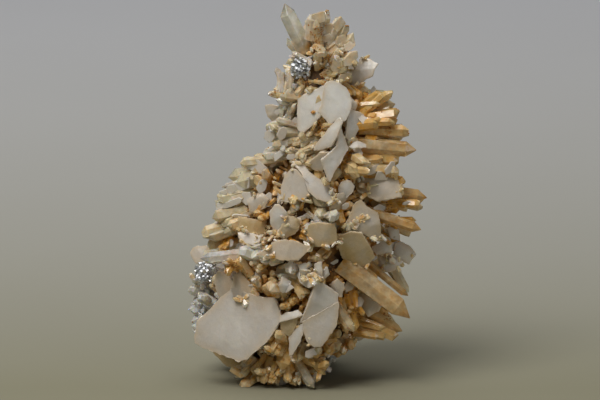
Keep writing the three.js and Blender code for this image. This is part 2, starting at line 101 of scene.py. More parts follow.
def reach(points):          # how far out points lie: 1 on the rock's mean surface, less inside it
    z = np.maximum(points[:, 2], 0)
    x, y, halfX, halfY = (np.interp(z, sections[:, 0], sections[:, column]) for column in (1, 2, 3, 4))
    return np.hypot((points[:, 0] - x) / halfX, (points[:, 1] - y) / halfY)


def meshPiece(name, corners, faces):
    mesh = bpy.data.meshes.new(name)
    mesh.from_pydata([tuple(corner) for corner in corners], [], faces)
    mesh.update()
    piece = bpy.data.objects.new(name, mesh)
    bpy.context.collection.objects.link(piece)
    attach(piece, "root")
    return piece


def pick(piece):
    bpy.ops.object.select_all(action="DESELECT")
    piece.select_set(True)
    bpy.context.view_layer.objects.active = piece


def applyAll(piece):
    pick(piece)
    for modifier in list(piece.modifiers):
        bpy.ops.object.modifier_apply(modifier=modifier.name)


def cornersOf(piece):
    points = np.empty(len(piece.data.vertices) * 3)
    piece.data.vertices.foreach_get("co", points)
    return points.reshape(-1, 3)


def paint(piece, **layers):          # a number for each corner, which the finishes read
    for label, values in layers.items():
        layer = piece.data.attributes.new(label, "FLOAT", "POINT")
        layer.data.foreach_set("value", np.clip(np.array(values, "f"), 0, 1))


def wobble(points, size):          # smooth noise between -1 and 1 at each point
    return np.array([noise.noise(Vector(point) / size) for point in points])


def treeOf(pieces):          # what a line cast at these pieces hits
    corners, faces = [], []
    for piece in pieces:
        start = len(corners)
        corners += [corner.co.copy() for corner in piece.data.vertices]
        faces += [tuple(start + corner for corner in face.vertices) for face in piece.data.polygons]
    return BVHTree.FromPolygons(corners, faces)


def copyOf(name, ending):          # a CAD part's own mesh, merged, as a new piece
    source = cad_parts[name]
    piece = source.copy()
    piece.data = source.data.copy()
    piece.name = name + ending
    bpy.context.collection.objects.link(piece)
    pick(piece)
    bpy.ops.object.mode_set(mode="EDIT")
    bpy.ops.mesh.select_all(action="SELECT")
    bpy.ops.mesh.remove_doubles(threshold=0.00001)
    bpy.ops.mesh.dissolve_limited(angle_limit=math.radians(1))
    bpy.ops.object.mode_set(mode="OBJECT")
    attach(piece, "root")
    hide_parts(name)
    return piece


# Shader maths written as Python: a Wire is a socket that adds, multiplies and so on
class Wire:
    def __init__(self, tree, socket):
        self.tree = tree
        self.socket = socket

    def maths(self, operation, other, swap=False):
        node = self.tree.nodes.new("ShaderNodeMath")
        node.operation = operation
        for slot, value in enumerate((other, self) if swap else (self, other)):
            if isinstance(value, Wire):
                self.tree.links.new(value.socket, node.inputs[slot])
            else:
                node.inputs[slot].default_value = value
        return Wire(self.tree, node.outputs[0])

    def __add__(self, other):
        return self.maths("ADD", other)

    __radd__ = __add__

    def __mul__(self, other):
        return self.maths("MULTIPLY", other)

    __rmul__ = __mul__

    def __sub__(self, other):
        return self.maths("SUBTRACT", other)

    def __rsub__(self, other):
        return self.maths("SUBTRACT", other, swap=True)

    def clamp(self):
        return self.maths("MAXIMUM", 0.0).maths("MINIMUM", 1.0)


class Finish:
    def __init__(self, name):
        self.material = bpy.data.materials.new(name)
        self.material.use_nodes = True
        self.tree = self.material.node_tree
        self.tree.nodes.clear()
        self.place = self.add("ShaderNodeTexCoord").outputs["Object"]

    def add(self, kind, settings=None, **values):
        node = self.tree.nodes.new(kind)
        for name, value in (settings or {}).items():
            if name == "stops":
                ramp = node.color_ramp
                while len(ramp.elements) < len(value):
                    ramp.elements.new(1.0)
                for element, (position, colour) in zip(ramp.elements, value):
                    element.position = position
                    element.color = (*colour, 1.0)
            else:
                setattr(node, name, value)
        for name, value in values.items():
            socket = node.inputs[name.replace("_", " ")]
            source = value.socket if isinstance(value, Wire) else value
            if isinstance(source, bpy.types.NodeSocket):
                self.tree.links.new(source, socket)
            else:
                socket.default_value = source
        return node

    def noise(self, size, detail=3.0, roughness=0.55):
        node = self.add("ShaderNodeTexNoise", Vector=self.place, Scale=1 / size, Detail=detail, Roughness=roughness)
        return Wire(self.tree, node.outputs["Fac"])

    def cells(self, size):
        node = self.add("ShaderNodeTexVoronoi", Vector=self.place, Scale=1 / size)
        return Wire(self.tree, node.outputs["Distance"])

    def height(self, axis):
        parts = self.add("ShaderNodeSeparateXYZ", Vector=self.place)
        return Wire(self.tree, parts.outputs[axis])

    def ramp(self, mask, stops):
        return self.add("ShaderNodeValToRGB", {"stops": stops}, Fac=mask).outputs["Color"]

    def attribute(self, name):
        node = self.add("ShaderNodeAttribute", {"attribute_name": name})
        return Wire(self.tree, node.outputs["Fac"])

    def blend(self, mask, low, high):
        node = self.add("ShaderNodeMix", {"data_type": "RGBA"})
        for socket, value in ((node.inputs[0], mask), (node.inputs[6], low), (node.inputs[7], high)):
            source = value.socket if isinstance(value, Wire) else value
            if isinstance(source, bpy.types.NodeSocket):
                self.tree.links.new(source, socket)
            elif socket.type == "RGBA":
                socket.default_value = (*source, 1.0)
            else:
                socket.default_value = source
        return node.outputs[2]

    def bump(self, height, strength, distance):
        node = self.add("ShaderNodeBump", Height=height, Strength=strength, Distance=distance)
        return node.outputs["Normal"]

    def finish(self, shader, volume=None):
        output = self.add("ShaderNodeOutputMaterial")
        self.tree.links.new(shader.outputs[0], output.inputs["Surface"])
        if volume:
            self.tree.links.new(volume.outputs[0], output.inputs["Volume"])
        return self.material


def dress(piece, material):
    piece.data.materials.clear()
    piece.data.materials.append(material)


# Calcite: satin plates from milky white to beige, a little light goes in, yellow-brown near the rock, with a painted
# highlight on the rims and along the outline
calciteLook = {
    "tones": [
        (0.0, (0.88, 0.84, 0.77)), (0.4, (0.68, 0.63, 0.57)), (0.75, (0.6, 0.51, 0.39)), (1.0, (0.55, 0.41, 0.2)),
    ],
    # rim: the pale colour of the painted highlight on the plates' rims and edges
    "rim": (0.88, 0.84, 0.76), "stain": (0.58, 0.33, 0.09), "specks": (0.4, 0.26, 0.12),
    "cloudSize": 0.011, "veilSize": 0.0035, "speckSize": 0.0009, "reliefSizes": (0.0028, 0.0006),          # m
    "mottling": (0.6, 0.3, -0.45),          # how much cloud and veil change the tone, and what evens it out
    "roughness": (0.35, 0.1), "bump": (0.3, 0.0004), "ior": 1.58,
    "glow": 0.4, "glowDepth": 0.0022, "glowReach": (1.0, 0.85, 0.65),
}


def calciteFinish():
    look = calciteLook
    made = Finish("calcite_satin")
    cloud = made.noise(look["cloudSize"], 4)
    veil = made.noise(look["veilSize"], 6, 0.65)
    clouded, veiled, evened = look["mottling"]
    tone = made.attribute("tone") + cloud * clouded + veil * veiled + evened
    colour = made.ramp(tone.clamp(), look["tones"])
    # Painted highlight: the rim faces and a band along the outline are blended towards the pale rim colour
    light = made.attribute("edge") * veil * 1.3 + made.attribute("rim") * 0.8
    colour = made.blend(light.clamp() * (0.9 - made.attribute("tone") * 0.6), colour, look["rim"])
    colour = made.blend((made.attribute("stain") * (veil * 2.2 - 0.35)).clamp() * 0.85, colour, look["stain"])
    specks = (made.noise(look["speckSize"], 2) * 9 - 6.2).clamp() * made.attribute("stain")
    colour = made.blend(specks, colour, look["specks"])
    broad, fine = look["reliefSizes"]
    relief = made.noise(broad, 5) * 0.6 + made.noise(fine, 2) * 0.25
    patchy, least = look["roughness"]
    shader = made.add(
        "ShaderNodeBsdfPrincipled",
        Base_Color=colour, Roughness=veil * patchy + least, Normal=made.bump(relief, *look["bump"]), IOR=look["ior"],
        Subsurface_Weight=look["glow"], Subsurface_Scale=look["glowDepth"], Subsurface_Radius=look["glowReach"],
    )
    return made.finish(shader)


# Quartz: see-through prisms, grey-clear to honey, with cloudy roots and iron stain where the druse is old
quartzLook = {
    "tones": [
        (0.0, (0.95, 0.95, 0.93)), (0.3, (0.98, 0.9, 0.67)), (0.6, (0.9, 0.72, 0.4)), (1.0, (0.66, 0.46, 0.17)),
    ],
    "stain": (0.78, 0.39, 0.06), "absorb": (0.99, 0.91, 0.6), "density": 50.0,
    "cloudSize": 0.004, "mottleSize": 0.0022, "reliefSize": 0.0016, "wearSize": 0.0007,          # m
    "clearRoughness": (0.14, 0.03), "milkyRoughness": (0.2, 0.05), "bump": (0.08, 0.0003), "ior": 1.544,
    "glow": 0.4, "glowDepth": 0.0006, "glowReach": (1.0, 0.8, 0.5),
    "cloudiness": {"quartz_clear": 0.36, "quartz_milky": 0.64, "quartz_druse": 0.82},
}


def quartzFinish(name):
    look = quartzLook
    made = Finish(name)
    stain = made.attribute("stain")
    mottle = made.noise(look["mottleSize"], 4)
    body = made.ramp((made.attribute("tone") + mottle * 0.4 - 0.2).clamp(), look["tones"])
    colour = made.blend((stain * (mottle * 2.6 - 0.35)).clamp(), body, look["stain"])
    wear = made.noise(look["wearSize"], 3)
    normal = made.bump(made.noise(look["reliefSize"], 4), *look["bump"])
    worn, least = look["clearRoughness"]
    glassy = made.add(
        "ShaderNodeBsdfPrincipled",
        Base_Color=colour, Roughness=wear * worn + least, Normal=normal, IOR=look["ior"], Transmission_Weight=1.0,
    )
    worn, least = look["milkyRoughness"]
    milky = made.add(
        "ShaderNodeBsdfPrincipled",
        Base_Color=colour, Roughness=wear * worn + least, Normal=normal, IOR=look["ior"],
        Subsurface_Weight=look["glow"], Subsurface_Scale=look["glowDepth"], Subsurface_Radius=look["glowReach"],
    )
    mixed = made.add("ShaderNodeMixShader")
    share = (made.noise(look["cloudSize"], 3) * 0.9 + (look["cloudiness"][name] - 0.45) + stain * 0.35).clamp()
    made.tree.links.new(share.socket, mixed.inputs[0])
    made.tree.links.new(glassy.outputs[0], mixed.inputs[1])
    made.tree.links.new(milky.outputs[0], mixed.inputs[2])
    absorb = made.add("ShaderNodeVolumeAbsorption", Color=(*look["absorb"], 1.0), Density=look["density"])
    return made.finish(mixed, absorb)


# Rock: dark brown hollows with rusty stain, grey where its attribute says so
rockLook = {
    "grey": (0.26, 0.265, 0.26), "dark": (0.1, 0.05, 0.016), "rust": (0.6, 0.29, 0.05),
    "patchSize": 0.009, "fineSize": 0.0022, "gritSize": 0.0016,          # m
    "roughness": (0.4, 0.4), "bump": (0.8, 0.0008),
}


def rockFinish():
    look = rockLook
    made = Finish("stained_rock")
    patch = made.noise(look["patchSize"], 5)
    fine = made.noise(look["fineSize"], 5, 0.7)
    stained = made.blend((patch * 4 - 1.8).clamp(), look["dark"], look["rust"])
    base = made.blend(made.attribute("stain"), look["grey"], stained)
    colour = made.blend((fine * 3.2 - 1.4).clamp(), base, look["dark"])
    patchy, least = look["roughness"]
    shader = made.add(
        "ShaderNodeBsdfPrincipled",
        Base_Color=colour, Roughness=fine * patchy + least,
        Normal=made.bump(fine + made.cells(look["gritSize"]) * 0.5, *look["bump"]),
    )
    return made.finish(shader)


# Galena: bright metal on fresh faces, duller between them
galenaLook = {
    "bright": (0.95, 0.96, 0.98), "dull": (0.4, 0.42, 0.45), "tarnishSize": 0.0016, "reliefSize": 0.0008,
    "roughness": (0.5, 0.15), "bump": (0.3, 0.0002),
}


def galenaFinish():
    look = galenaLook
    made = Finish("galena_metal")
    tarnish = made.noise(look["tarnishSize"], 4)
    colour = made.blend((tarnish * 2.4 - 0.8).clamp(), look["bright"], look["dull"])
    tarnished, least = look["roughness"]
    shader = made.add(
        "ShaderNodeBsdfPrincipled",
        Base_Color=colour, Metallic=1.0, Roughness=tarnish * tarnished + least,
        Normal=made.bump(made.noise(look["reliefSize"], 2), *look["bump"]),
    )
    return made.finish(shader)


# Iron stain: small rusty grains
rustLook = {
    "ochre": (0.66, 0.34, 0.07), "brown": (0.3, 0.1, 0.015), "patchSize": 0.002, "reliefSize": 0.0006,
    "roughness": (0.3, 0.3), "bump": (0.6, 0.0002), "glow": 0.2, "glowDepth": 0.0008, "glowReach": (1.0, 0.5, 0.2),
}


def rustFinish():
    look = rustLook
    made = Finish("iron_stain_grains")
    patch = made.noise(look["patchSize"], 4)
    colour = made.blend((patch * 2.6 - 0.8).clamp(), look["ochre"], look["brown"])
    patchy, least = look["roughness"]
    shader = made.add(
        "ShaderNodeBsdfPrincipled",
        Base_Color=colour, Roughness=patch * patchy + least,
        Normal=made.bump(made.noise(look["reliefSize"], 2), *look["bump"]),
        Subsurface_Weight=look["glow"], Subsurface_Scale=look["glowDepth"], Subsurface_Radius=look["glowReach"],
    )
    return made.finish(shader)


calcite = calciteFinish()
clear = quartzFinish("quartz_clear")
quartz = quartzFinish("quartz_milky")
druse = quartzFinish("quartz_druse")
rock = rockFinish()
galena = galenaFinish()
rust = rustFinish()
print("finishes made")


# The crystals that the quartz is copies of: a shaft from 0 to 1 and a point from 1 to 2
seedBevel = {"plate": 0.06, "cube": 0.07}


def seedCrystal(name, sides, taper, tipShift, tipSize):
    bpy.ops.object.select_all(action="DESELECT")
    bpy.ops.mesh.primitive_cylinder_add(vertices=sides, radius=1, depth=1, location=(0, 0, 0.5))
    piece = bpy.context.object
    piece.name = name
    bpy.ops.object.mode_set(mode="EDIT")
    bpy.ops.mesh.select_mode(type="FACE")
    bpy.ops.mesh.select_all(action="DESELECT")
    bpy.ops.object.mode_set(mode="OBJECT")
    for face in piece.data.polygons:
        face.select = face.normal.z > 0.9
    bpy.ops.object.mode_set(mode="EDIT")
    bpy.ops.transform.resize(value=(taper, taper, 1))
    bpy.ops.mesh.extrude_region_move(TRANSFORM_OT_translate={"value": (tipShift, 0, 1)})
    if tipSize:
        bpy.ops.transform.resize(value=(tipSize, tipSize * 0.35, 1))
    else:
        bpy.ops.mesh.merge(type="CENTER")
    bpy.ops.object.mode_set(mode="OBJECT")
    return takeShape(piece)


def seedPlate(ring):          # a thin tablet with sharp rims, about 1 in radius and 1 thick
    bpy.ops.object.select_all(action="DESELECT")
    bpy.ops.mesh.primitive_circle_add(vertices=len(ring), radius=1, fill_type="NGON")
    piece = bpy.context.object
    piece.data.vertices.foreach_set("co", np.array([(x, y, 0.5) for x, y in ring]).ravel())
    bpy.ops.object.mode_set(mode="EDIT")
    bpy.ops.mesh.select_all(action="SELECT")
    bpy.ops.mesh.extrude_region_move(TRANSFORM_OT_translate={"value": (0, 0, -1)})
    bpy.ops.mesh.select_all(action="SELECT")
    bpy.ops.mesh.normals_make_consistent(inside=False)
    bpy.ops.mesh.bevel(offset=seedBevel["plate"], segments=1, affect="EDGES")
    bpy.ops.object.mode_set(mode="OBJECT")
    return takeShape(piece)


def takeShape(piece):
    corners = cornersOf(piece) + np.array(piece.location)
    faces = [tuple(face.vertices) for face in piece.data.polygons]
    bpy.data.objects.remove(piece)
    return corners, faces


crystalSeeds = [
    seedCrystal("pointed", 6, 0.97, 0.1, 0),
    seedCrystal("leaning", 6, 0.95, 0.5, 0),
    seedCrystal("chisel", 6, 0.96, 0.15, 0.5),
    seedCrystal("broken", 6, 0.98, 0.2, 0.7),
]
plateSeeds = [
    seedPlate(((-1, -0.3), (-0.3, -0.8), (0.7, -0.5), (1, 0.3), (0.35, 0.75), (-0.6, 0.6))),
    seedPlate(((-1, -0.25), (-0.5, -0.55), (0.7, -0.5), (1, 0.1), (0.75, 0.5), (-0.7, 0.45))),
    seedPlate(((-0.95, -0.45), (0.6, -0.8), (1, 0.4), (-0.4, 0.85))),
    seedPlate(((-0.8, -0.7), (0.55, -0.85), (1, 0.25), (0.05, 0.95), (-0.95, 0.4))),
]

bpy.ops.object.select_all(action="DESELECT")
bpy.ops.mesh.primitive_cube_add(size=1)
bpy.ops.object.mode_set(mode="EDIT")
bpy.ops.mesh.bevel(offset=seedBevel["cube"], segments=1, affect="EDGES")
bpy.ops.object.mode_set(mode="OBJECT")
cubeSeed = takeShape(bpy.context.object)

bpy.ops.object.select_all(action="DESELECT")
bpy.ops.mesh.primitive_ico_sphere_add(subdivisions=1, radius=1)
bpy.ops.object.mode_set(mode="EDIT")
bpy.ops.transform.resize(value=(1, 0.85, 0.7))
bpy.ops.object.mode_set(mode="OBJECT")
grainSeed = takeShape(bpy.context.object)


lowest = 0.15          # mm, so that nothing is under the floor


class Growth:          # gathers many small shapes and makes one joined piece of them
    def __init__(self):
        self.corners = []
        self.faces = []
        self.tones = []
        self.stains = []
        self.count = 0

    def add(self, corners, faces, tones, stains):
        placed = corners.copy()
        placed[:, 2] = np.maximum(placed[:, 2], lowest)
        self.corners.append(placed)
        self.faces += [tuple(corner + self.count for corner in face) for face in faces]
        self.count += len(corners)
        self.tones.append(np.broadcast_to(tones, len(corners)))
        self.stains.append(np.broadcast_to(stains, len(corners)))

    def crystal(self, root, tip, wide, tone, stain, seed=None):
        local, faces = crystalSeeds[dice.choice(4, p=(0.25, 0.3, 0.25, 0.2)) if seed is None else seed]
        root = Vector(root)
        axis = Vector(tip) - root
        radius = wide / 2
        point = min(axis.length * 0.4, radius * dice.uniform(0.65, 1.1))
        placed = local.copy()
        placed[:, 2] = np.clip(local[:, 2], 0, 1) * (axis.length - point) + np.clip(local[:, 2] - 1, 0, 1) * point
        placed[:, 0] *= radius * dice.uniform(0.95, 1.25)
        placed[:, 1] *= radius * dice.uniform(0.75, 1.0)
        turn = axis.to_track_quat("Z", "Y").to_matrix() @ Matrix.Rotation(dice.uniform(0, math.tau), 3, "Z")
        self.add(placed @ np.array(turn).T + np.array(root), faces, tone, stain * (1.35 - local[:, 2] * 0.5))

    def sprout(self, root, tip, wide, tone, stain, towards, guard):          # short ones along a long one
        axis = tip - root
        for _ in range(int(axis.length / 4.5)):
            start = root + axis * dice.uniform(0.2, 0.9)
            aside = Vector(dice.normal(0, 1, 3)).normalized()
            lean = (aside + towards * 0.8 + axis.normalized() * 0.35).normalized()
            thin = min(wide, 4.5) * dice.uniform(0.5, 0.9)
            end = guard(start, start + lean * (wide * 0.45 + thin * dice.uniform(0.6, 1.7)))
            if end:
                self.crystal(start, end, thin, tone + dice.uniform(-0.25, 0.25), stain + dice.uniform(-0.1, 0.3))

    def shape(self, seed, middle, size, turn, tone, stain):
        self.add((seed[0] * np.array(size)) @ np.array(turn).T + np.array(middle), seed[1], tone, stain)

    def build(self, name, material, replaced=None):
        piece = meshPiece(name, toFrame(np.concatenate(self.corners)), self.faces)
        paint(piece, tone=np.concatenate(self.tones), stain=np.concatenate(self.stains))
        dress(piece, material)
        if replaced:
            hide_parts(replaced)
        return piece


# Calcite plates, thin and crisp, with growth layers, slight waves and ragged rims. Sizes and heights in mm
plateShape = {
    "sink": 2.0, "thin": 0.5, "chamfer": 0.13, "mesh": 0.8, "layer": 0.3,
    "waves": ((9.0, 0.3), (2.2, 0.05)), "ragged": ((2.4, 0.55), (0.9, 0.3)),
    "stepSize": 8.0, "stepHeight": 0.16, "stepCount": 3.2,
    "facets": 3, "fall": 1.9, "foldStart": (-0.1, 0.45), "foldShare": (0.4, 1),
    # paintedGlow: painted glow, tone added towards the outline within this width in mm, leaving each plate's middle
    # whiter
    "rimWidth": 1.1, "paleWidth": 3, "paleTone": 0.25, "deepTone": 0.2, "rimStain": 0.4,
    "creaseAngle": math.radians(30), "floorGap": 0.2,
}

# Each plate: outline in the view's steps, how far out of the rock, its lean to the right and up, thickness in mm,
# how many growth layers lie on it, tone (0 milky white, 1 yellow beige), and its anchor if that isn't its middle.
# The tone also holds painted light: plates that lie in shade are set whiter, and some that face away from the key
# light are set darker as painted shade
plateRows = {
    "calcite_round_plate_top": [
        (((324, 86), (327, 83), (333, 82), (339, 84), (345, 88), (350, 95), (352, 101), (351, 108), (349, 115),
          (345, 122), (337, 120), (331, 126), (324, 119), (318, 112), (321, 106), (322, 100), (323, 92)), 7,
          0.22, 0.25, 2.4, 0, 0.04),
    ],
    "calcite_plate_top_left": [
        (((298, 100), (303, 96), (313, 91), (324, 86), (326, 98), (320, 118), (313, 126), (303, 134),
          (298, 131), (297, 115)), 4, -0.3, 0.2, 2.2, 0, 0.05),
    ],
    "calcite_blades_top": [
        (((338, 119), (330, 127), (322, 138), (315, 147), (314, 151), (320, 151), (331, 147), (337, 137),
          (341, 124)), 7.5, -0.5, 0.1, 2.2, 0, 0.15),
        (((339, 121), (344, 139), (348, 148), (342, 160), (336, 169), (329, 182), (326, 176), (321, 160),
          (328, 154), (336, 147), (338, 135)), 7.5, 0.5, 0.1, 2.2, 0, 0.2),
        (((306, 166), (312, 160), (320, 153), (329, 153), (330, 163), (322, 171), (314, 170)), 6, -0.2, -0.25,
          1.8, 0, 0.55),
    ],
    "calcite_blade_top_right": [
        (((350, 110), (357, 112), (364, 116), (360, 126), (355, 137), (351, 147), (346, 138), (346, 122)), 4.5,
          0.5, 0.1, 2, 0, 0.4),
        (((351, 97), (357, 106), (355, 111), (348, 109)), 5, 0.4, 0.1, 1.6, 0, 0.5),
    ],
    "calcite_small_plates_right": [
        (((348, 147), (352, 144), (358, 141), (366, 143), (366, 146), (353, 149)), 7, 0.2, 0.9, 1.4, 0, 0.05),
        (((353, 149), (361, 148), (362, 158), (357, 159)), 6.5, 0.3, 0, 1.6, 0, 0.1),
    ],
    "calcite_small_plate_left": [
        (((265, 105), (272, 104), (279, 106), (283, 114), (276, 125), (271, 123), (267, 115)), -3, -0.5, 0.1,
          1.6, 0, 0.45),
    ],
    "calcite_plate_summit_right": [
        (((355, 67), (361, 58), (369, 59), (378, 64), (372, 76), (361, 83), (345, 88), (340, 80)), 0, -0.15,
          0.3, 2, 0, 0.3),
    ],
    # deep beige, partly the plate's own colour and partly painted shade, as it faces away from the key light
    "calcite_plate_right_upper": [
        (((350, 178), (364, 175), (368, 170), (380, 168), (386, 175), (398, 180), (400, 188), (400, 196),
          (386, 200), (376, 201), (362, 194), (355, 186)), 9, -0.15, 0.45, 2.6, 0, 0.62),
    ],
    # deep beige, partly the plates' own colour and partly painted shade, as they face away from the key light
    "calcite_plate_right_middle": [
        (((344, 227), (348, 218), (352, 207), (356, 202), (360, 199), (366, 206), (377, 213), (380, 226),
          (382, 239), (380, 242), (361, 233), (355, 230)), 7, 0.3, 0.15, 2.4, 0, 0.7),
        (((338, 236), (351, 232), (361, 233), (371, 248), (374, 256), (367, 266), (355, 267), (343, 260),
          (338, 247)), 5.5, 0.15, -0.35, 2.4, 0, 0.9),
    ],
    # painted light: set near white so that the plate reads bright where it lies in the shade of the plates beside it
    "calcite_plate_right_inner": [
        (((372, 247), (389, 237), (391, 244), (391, 253), (376, 255)), 9, -0.15, 0.3, 1.8, 0, 0.1),
    ],
    # painted light: set near white so that these plates read bright where they lie in the shade of the plates beside
    # them
    "calcite_plates_right_edge": [
        (((379, 257), (391, 254), (404, 262), (393, 271), (386, 272), (379, 267)), 7, -0.15, 0.35, 1.8, 0,
          0.05),
        (((395, 243), (402, 242), (410, 246), (416, 254), (409, 265), (403, 262), (393, 259)), 4, -0.2, 0.2,
          1.8, 0, 0.1),
    ],
    "calcite_chip_right": [
        (((387, 226), (400, 230), (401, 242), (390, 238)), 1, 0.3, 0, 1.6, 0, 0.15),
    ],
    "calcite_fan_centre": [
        (((288, 172), (292, 168), (297, 170), (309, 184), (310, 194), (303, 202), (297, 199), (291, 202),
          (280, 201), (280, 190), (283, 178)), 5.5, -0.25, 0.2, 2.4, 0, 0.5),
        (((293, 161), (300, 160), (309, 171), (320, 180), (331, 188), (336, 196), (334, 203), (325, 202),
          (316, 199), (308, 192), (303, 176)), 5, 0.12, 0.35, 2.4, 0, 0.46),
    ],
    "calcite_knob_centre_right": [
        (((338, 186), (342, 182), (347, 180), (351, 181), (354, 186), (353, 192), (346, 198), (339, 197)), 5,
          0.1, 0.1, 2, 0, 0.35),
        (((338, 194), (350, 193), (343, 208), (335, 213), (330, 213), (329, 208)), 4, 0.3, -0.2, 1.8, 0, 0.65),
    ],
    # deep beige, partly the plate's own colour and partly painted shade, as it faces away from the key light
    "calcite_round_plate_centre": [
        (((307, 229), (310, 224), (318, 222), (334, 224), (336, 232), (337, 241), (328, 246), (318, 247),
          (309, 242)), 7.5, 0, 0.05, 2.6, 0, 0.82),
    ],
    "calcite_prism_centre": [
        (((270, 212), (275, 204), (280, 205), (287, 212), (287, 222), (283, 230), (276, 235), (271, 224)), 5.5,
          -0.1, 0.1, 3.4, 0, 0.2),
        (((286, 216), (295, 216), (301, 222), (299, 229), (293, 235), (284, 239), (279, 234)), 3.5, 0.3, 0.1,
          1.8, 0, 0.8),
    ],
    "calcite_plate_left_low": [
        (((238, 232), (250, 233), (263, 236), (257, 246), (245, 244), (240, 240)), 5, -0.1, 0.5, 2, 0, 0.4),
    ],
    "calcite_plate_left_middle": [
        (((238, 217), (250, 218), (256, 219), (266, 221), (264, 234), (252, 234), (240, 232)), 3, -0.2, 0.22,
          1.8, 0, 1.0),
    ],
    "calcite_hexagon_left": [
        (((247, 200), (255, 195), (263, 193), (269, 199), (265, 208), (257, 212), (251, 213)), 4, -0.3, 0.2,
          2.2, 0, 0.45),
    ],
    "calcite_wide_plate_middle": [
        (((257, 254), (266, 248), (275, 241), (286, 239), (297, 241), (310, 246), (304, 254), (298, 259),
          (287, 260), (270, 257)), 8, -0.1, 0.27, 2.2, 0, 0.68),
    ],
    "calcite_white_cluster": [
        (((296, 274), (300, 267), (308, 270), (318, 275), (322, 276), (315, 285), (308, 287), (301, 282)), 5, 0,
          0.4, 2.2, 0, 0.15),
        (((299, 265), (306, 262), (309, 278), (302, 280)), 4.5, 0.5, 0, 1.6, 0, 0.1),
        (((314, 263), (322, 261), (322, 277), (316, 280)), 4.5, -0.4, 0, 1.6, 0, 0.1),
        (((317, 274), (327, 267), (330, 274), (320, 282)), 4, 0.3, 0.1, 1.6, 0, 0.3),
    ],
    "calcite_white_rosette": [
        (((279, 285), (283, 276), (288, 279), (292, 281), (291, 288), (283, 293)), 4.5, 0.2, 0.1, 2, 0, 0.1),
        (((278, 282), (285, 278), (294, 287), (285, 292)), 4, -0.6, 0.2, 1.5, 0, 0.2),
    ],
    "calcite_pink_chip": [
        (((331, 285), (337, 278), (344, 283), (342, 296), (335, 297)), 4, 0.3, 0, 1.8, 0, 0.5),
    ],
    "calcite_big_plate": [
        (((198, 320), (207, 313), (213, 306), (223, 295), (232, 288), (241, 290), (254, 295), (265, 297),
          (274, 297), (278, 305), (281, 315), (280, 321), (275, 330), (271, 336), (265, 343), (259, 348),
          (252, 354), (247, 359), (239, 361), (229, 357), (220, 354), (210, 350), (203, 348), (195, 343),
          (195, 336)), 6.5, -0.35, 0.12, 3.4, 0, 0.42),
        (((231, 286), (235, 274), (241, 272), (250, 282), (253, 296), (246, 301), (233, 298)), 3.5, -0.2, 0.2,
          2.2, 0, 0.55),
        (((213, 283), (216, 272), (220, 271), (229, 275), (234, 284), (237, 300), (224, 304), (217, 296)), 5,
          -0.3, 0.1, 2.8, 0, 0.5),
    ],
    "calcite_tan_plate_under": [
        (((204, 347), (224, 350), (240, 353), (248, 365), (238, 370), (226, 369), (214, 358)), 3, -0.4, -0.2,
          1.8, 0, 1.0),
    ],
    "calcite_folded_plate": [
        (((316, 282), (324, 283), (332, 288), (337, 293), (338, 302), (302, 323), (305, 312), (308, 303),
          (312, 289)), 6, 0.32, 0.02, 2.4, 0, 0.3, (319, 312)),
        (((338, 301), (338, 313), (336, 326), (330, 333), (326, 340), (321, 346), (314, 346), (308, 342),
          (305, 335), (303, 328), (302, 321)), 6, 0.18, 0.08, 2.4, 0, 0.5, (319, 312)),
        (((288, 355), (289, 336), (301, 323), (306, 321), (303, 330), (300, 341), (293, 352)), 6, -0.5, 0.1,
          1.8, 0, 0.25),
    ],
    "calcite_strip_centre": [
        (((279, 321), (281, 314), (290, 311), (298, 309), (303, 314), (293, 318)), 5, -0.1, 0.5, 1.8, 0, 0.08),
        (((280, 318), (298, 315), (296, 325), (290, 337), (281, 331)), 4.3, 0, -0.1, 1.8, 0, 0.85),
    ],
    # painted light: set white so that the plate reads bright in the shadow of the large prism
    "calcite_plate_right_low": [
        (((356, 294), (363, 291), (372, 298), (384, 303), (378, 311), (368, 317), (361, 305)), 13, -0.15, 0.3,
          2, 0, 0.0),
    ],
    "calcite_plate_right_foot": [
        (((354, 332), (366, 318), (376, 320), (374, 334), (360, 342)), 2.5, 0.4, -0.1, 2.2, 0, 0.55),
    ],
    "calcite_block_left_edge": [
        (((190, 254), (193, 248), (205, 245), (215, 255), (210, 263), (196, 264)), 1.5, -0.4, 0.3, 3, 0, 0.55),
    ],
    "calcite_plate_back_upper": [
        (((305, 128), (318, 113), (328, 113), (338, 116), (348, 136), (335, 153), (312, 150)), 4, 0.2, -0.3,
          2.4, 2, 0.4),
    ],
    "calcite_plate_back_middle": [
        (((320, 223), (340, 206), (352, 208), (362, 216), (368, 238), (345, 258), (322, 248)), 4, -0.3, -0.2,
          2.6, 2, 0.45),
    ],
    "calcite_plate_back_low": [
        (((232, 283), (252, 266), (275, 270), (280, 293), (265, 310), (240, 306)), 4.5, 0.25, -0.25, 2.8, 2,
          0.4),
    ],
}


def refine(piece, longest):          # halves the long edges until the mesh is fine enough to be shaped
    for _ in range(8):
        points = cornersOf(piece)
        ends = np.empty(len(piece.data.edges) * 2, int)
        piece.data.edges.foreach_get("vertices", ends)
        ends = ends.reshape(-1, 2)
        tooLong = np.linalg.norm(points[ends[:, 0]] - points[ends[:, 1]], axis=1) > longest
        if not tooLong.any():
            break
        bpy.ops.object.mode_set(mode="EDIT")
        bpy.ops.mesh.select_mode(type="EDGE")
        bpy.ops.mesh.select_all(action="DESELECT")
        bpy.ops.object.mode_set(mode="OBJECT")
        piece.data.edges.foreach_set("select", tooLong)
        bpy.ops.object.mode_set(mode="EDIT")
        bpy.ops.mesh.subdivide(number_cuts=1)
        bpy.ops.mesh.select_all(action="SELECT")
        bpy.ops.mesh.quads_convert_to_tris(quad_method="BEAUTY", ngon_method="BEAUTY")
        bpy.ops.object.mode_set(mode="OBJECT")


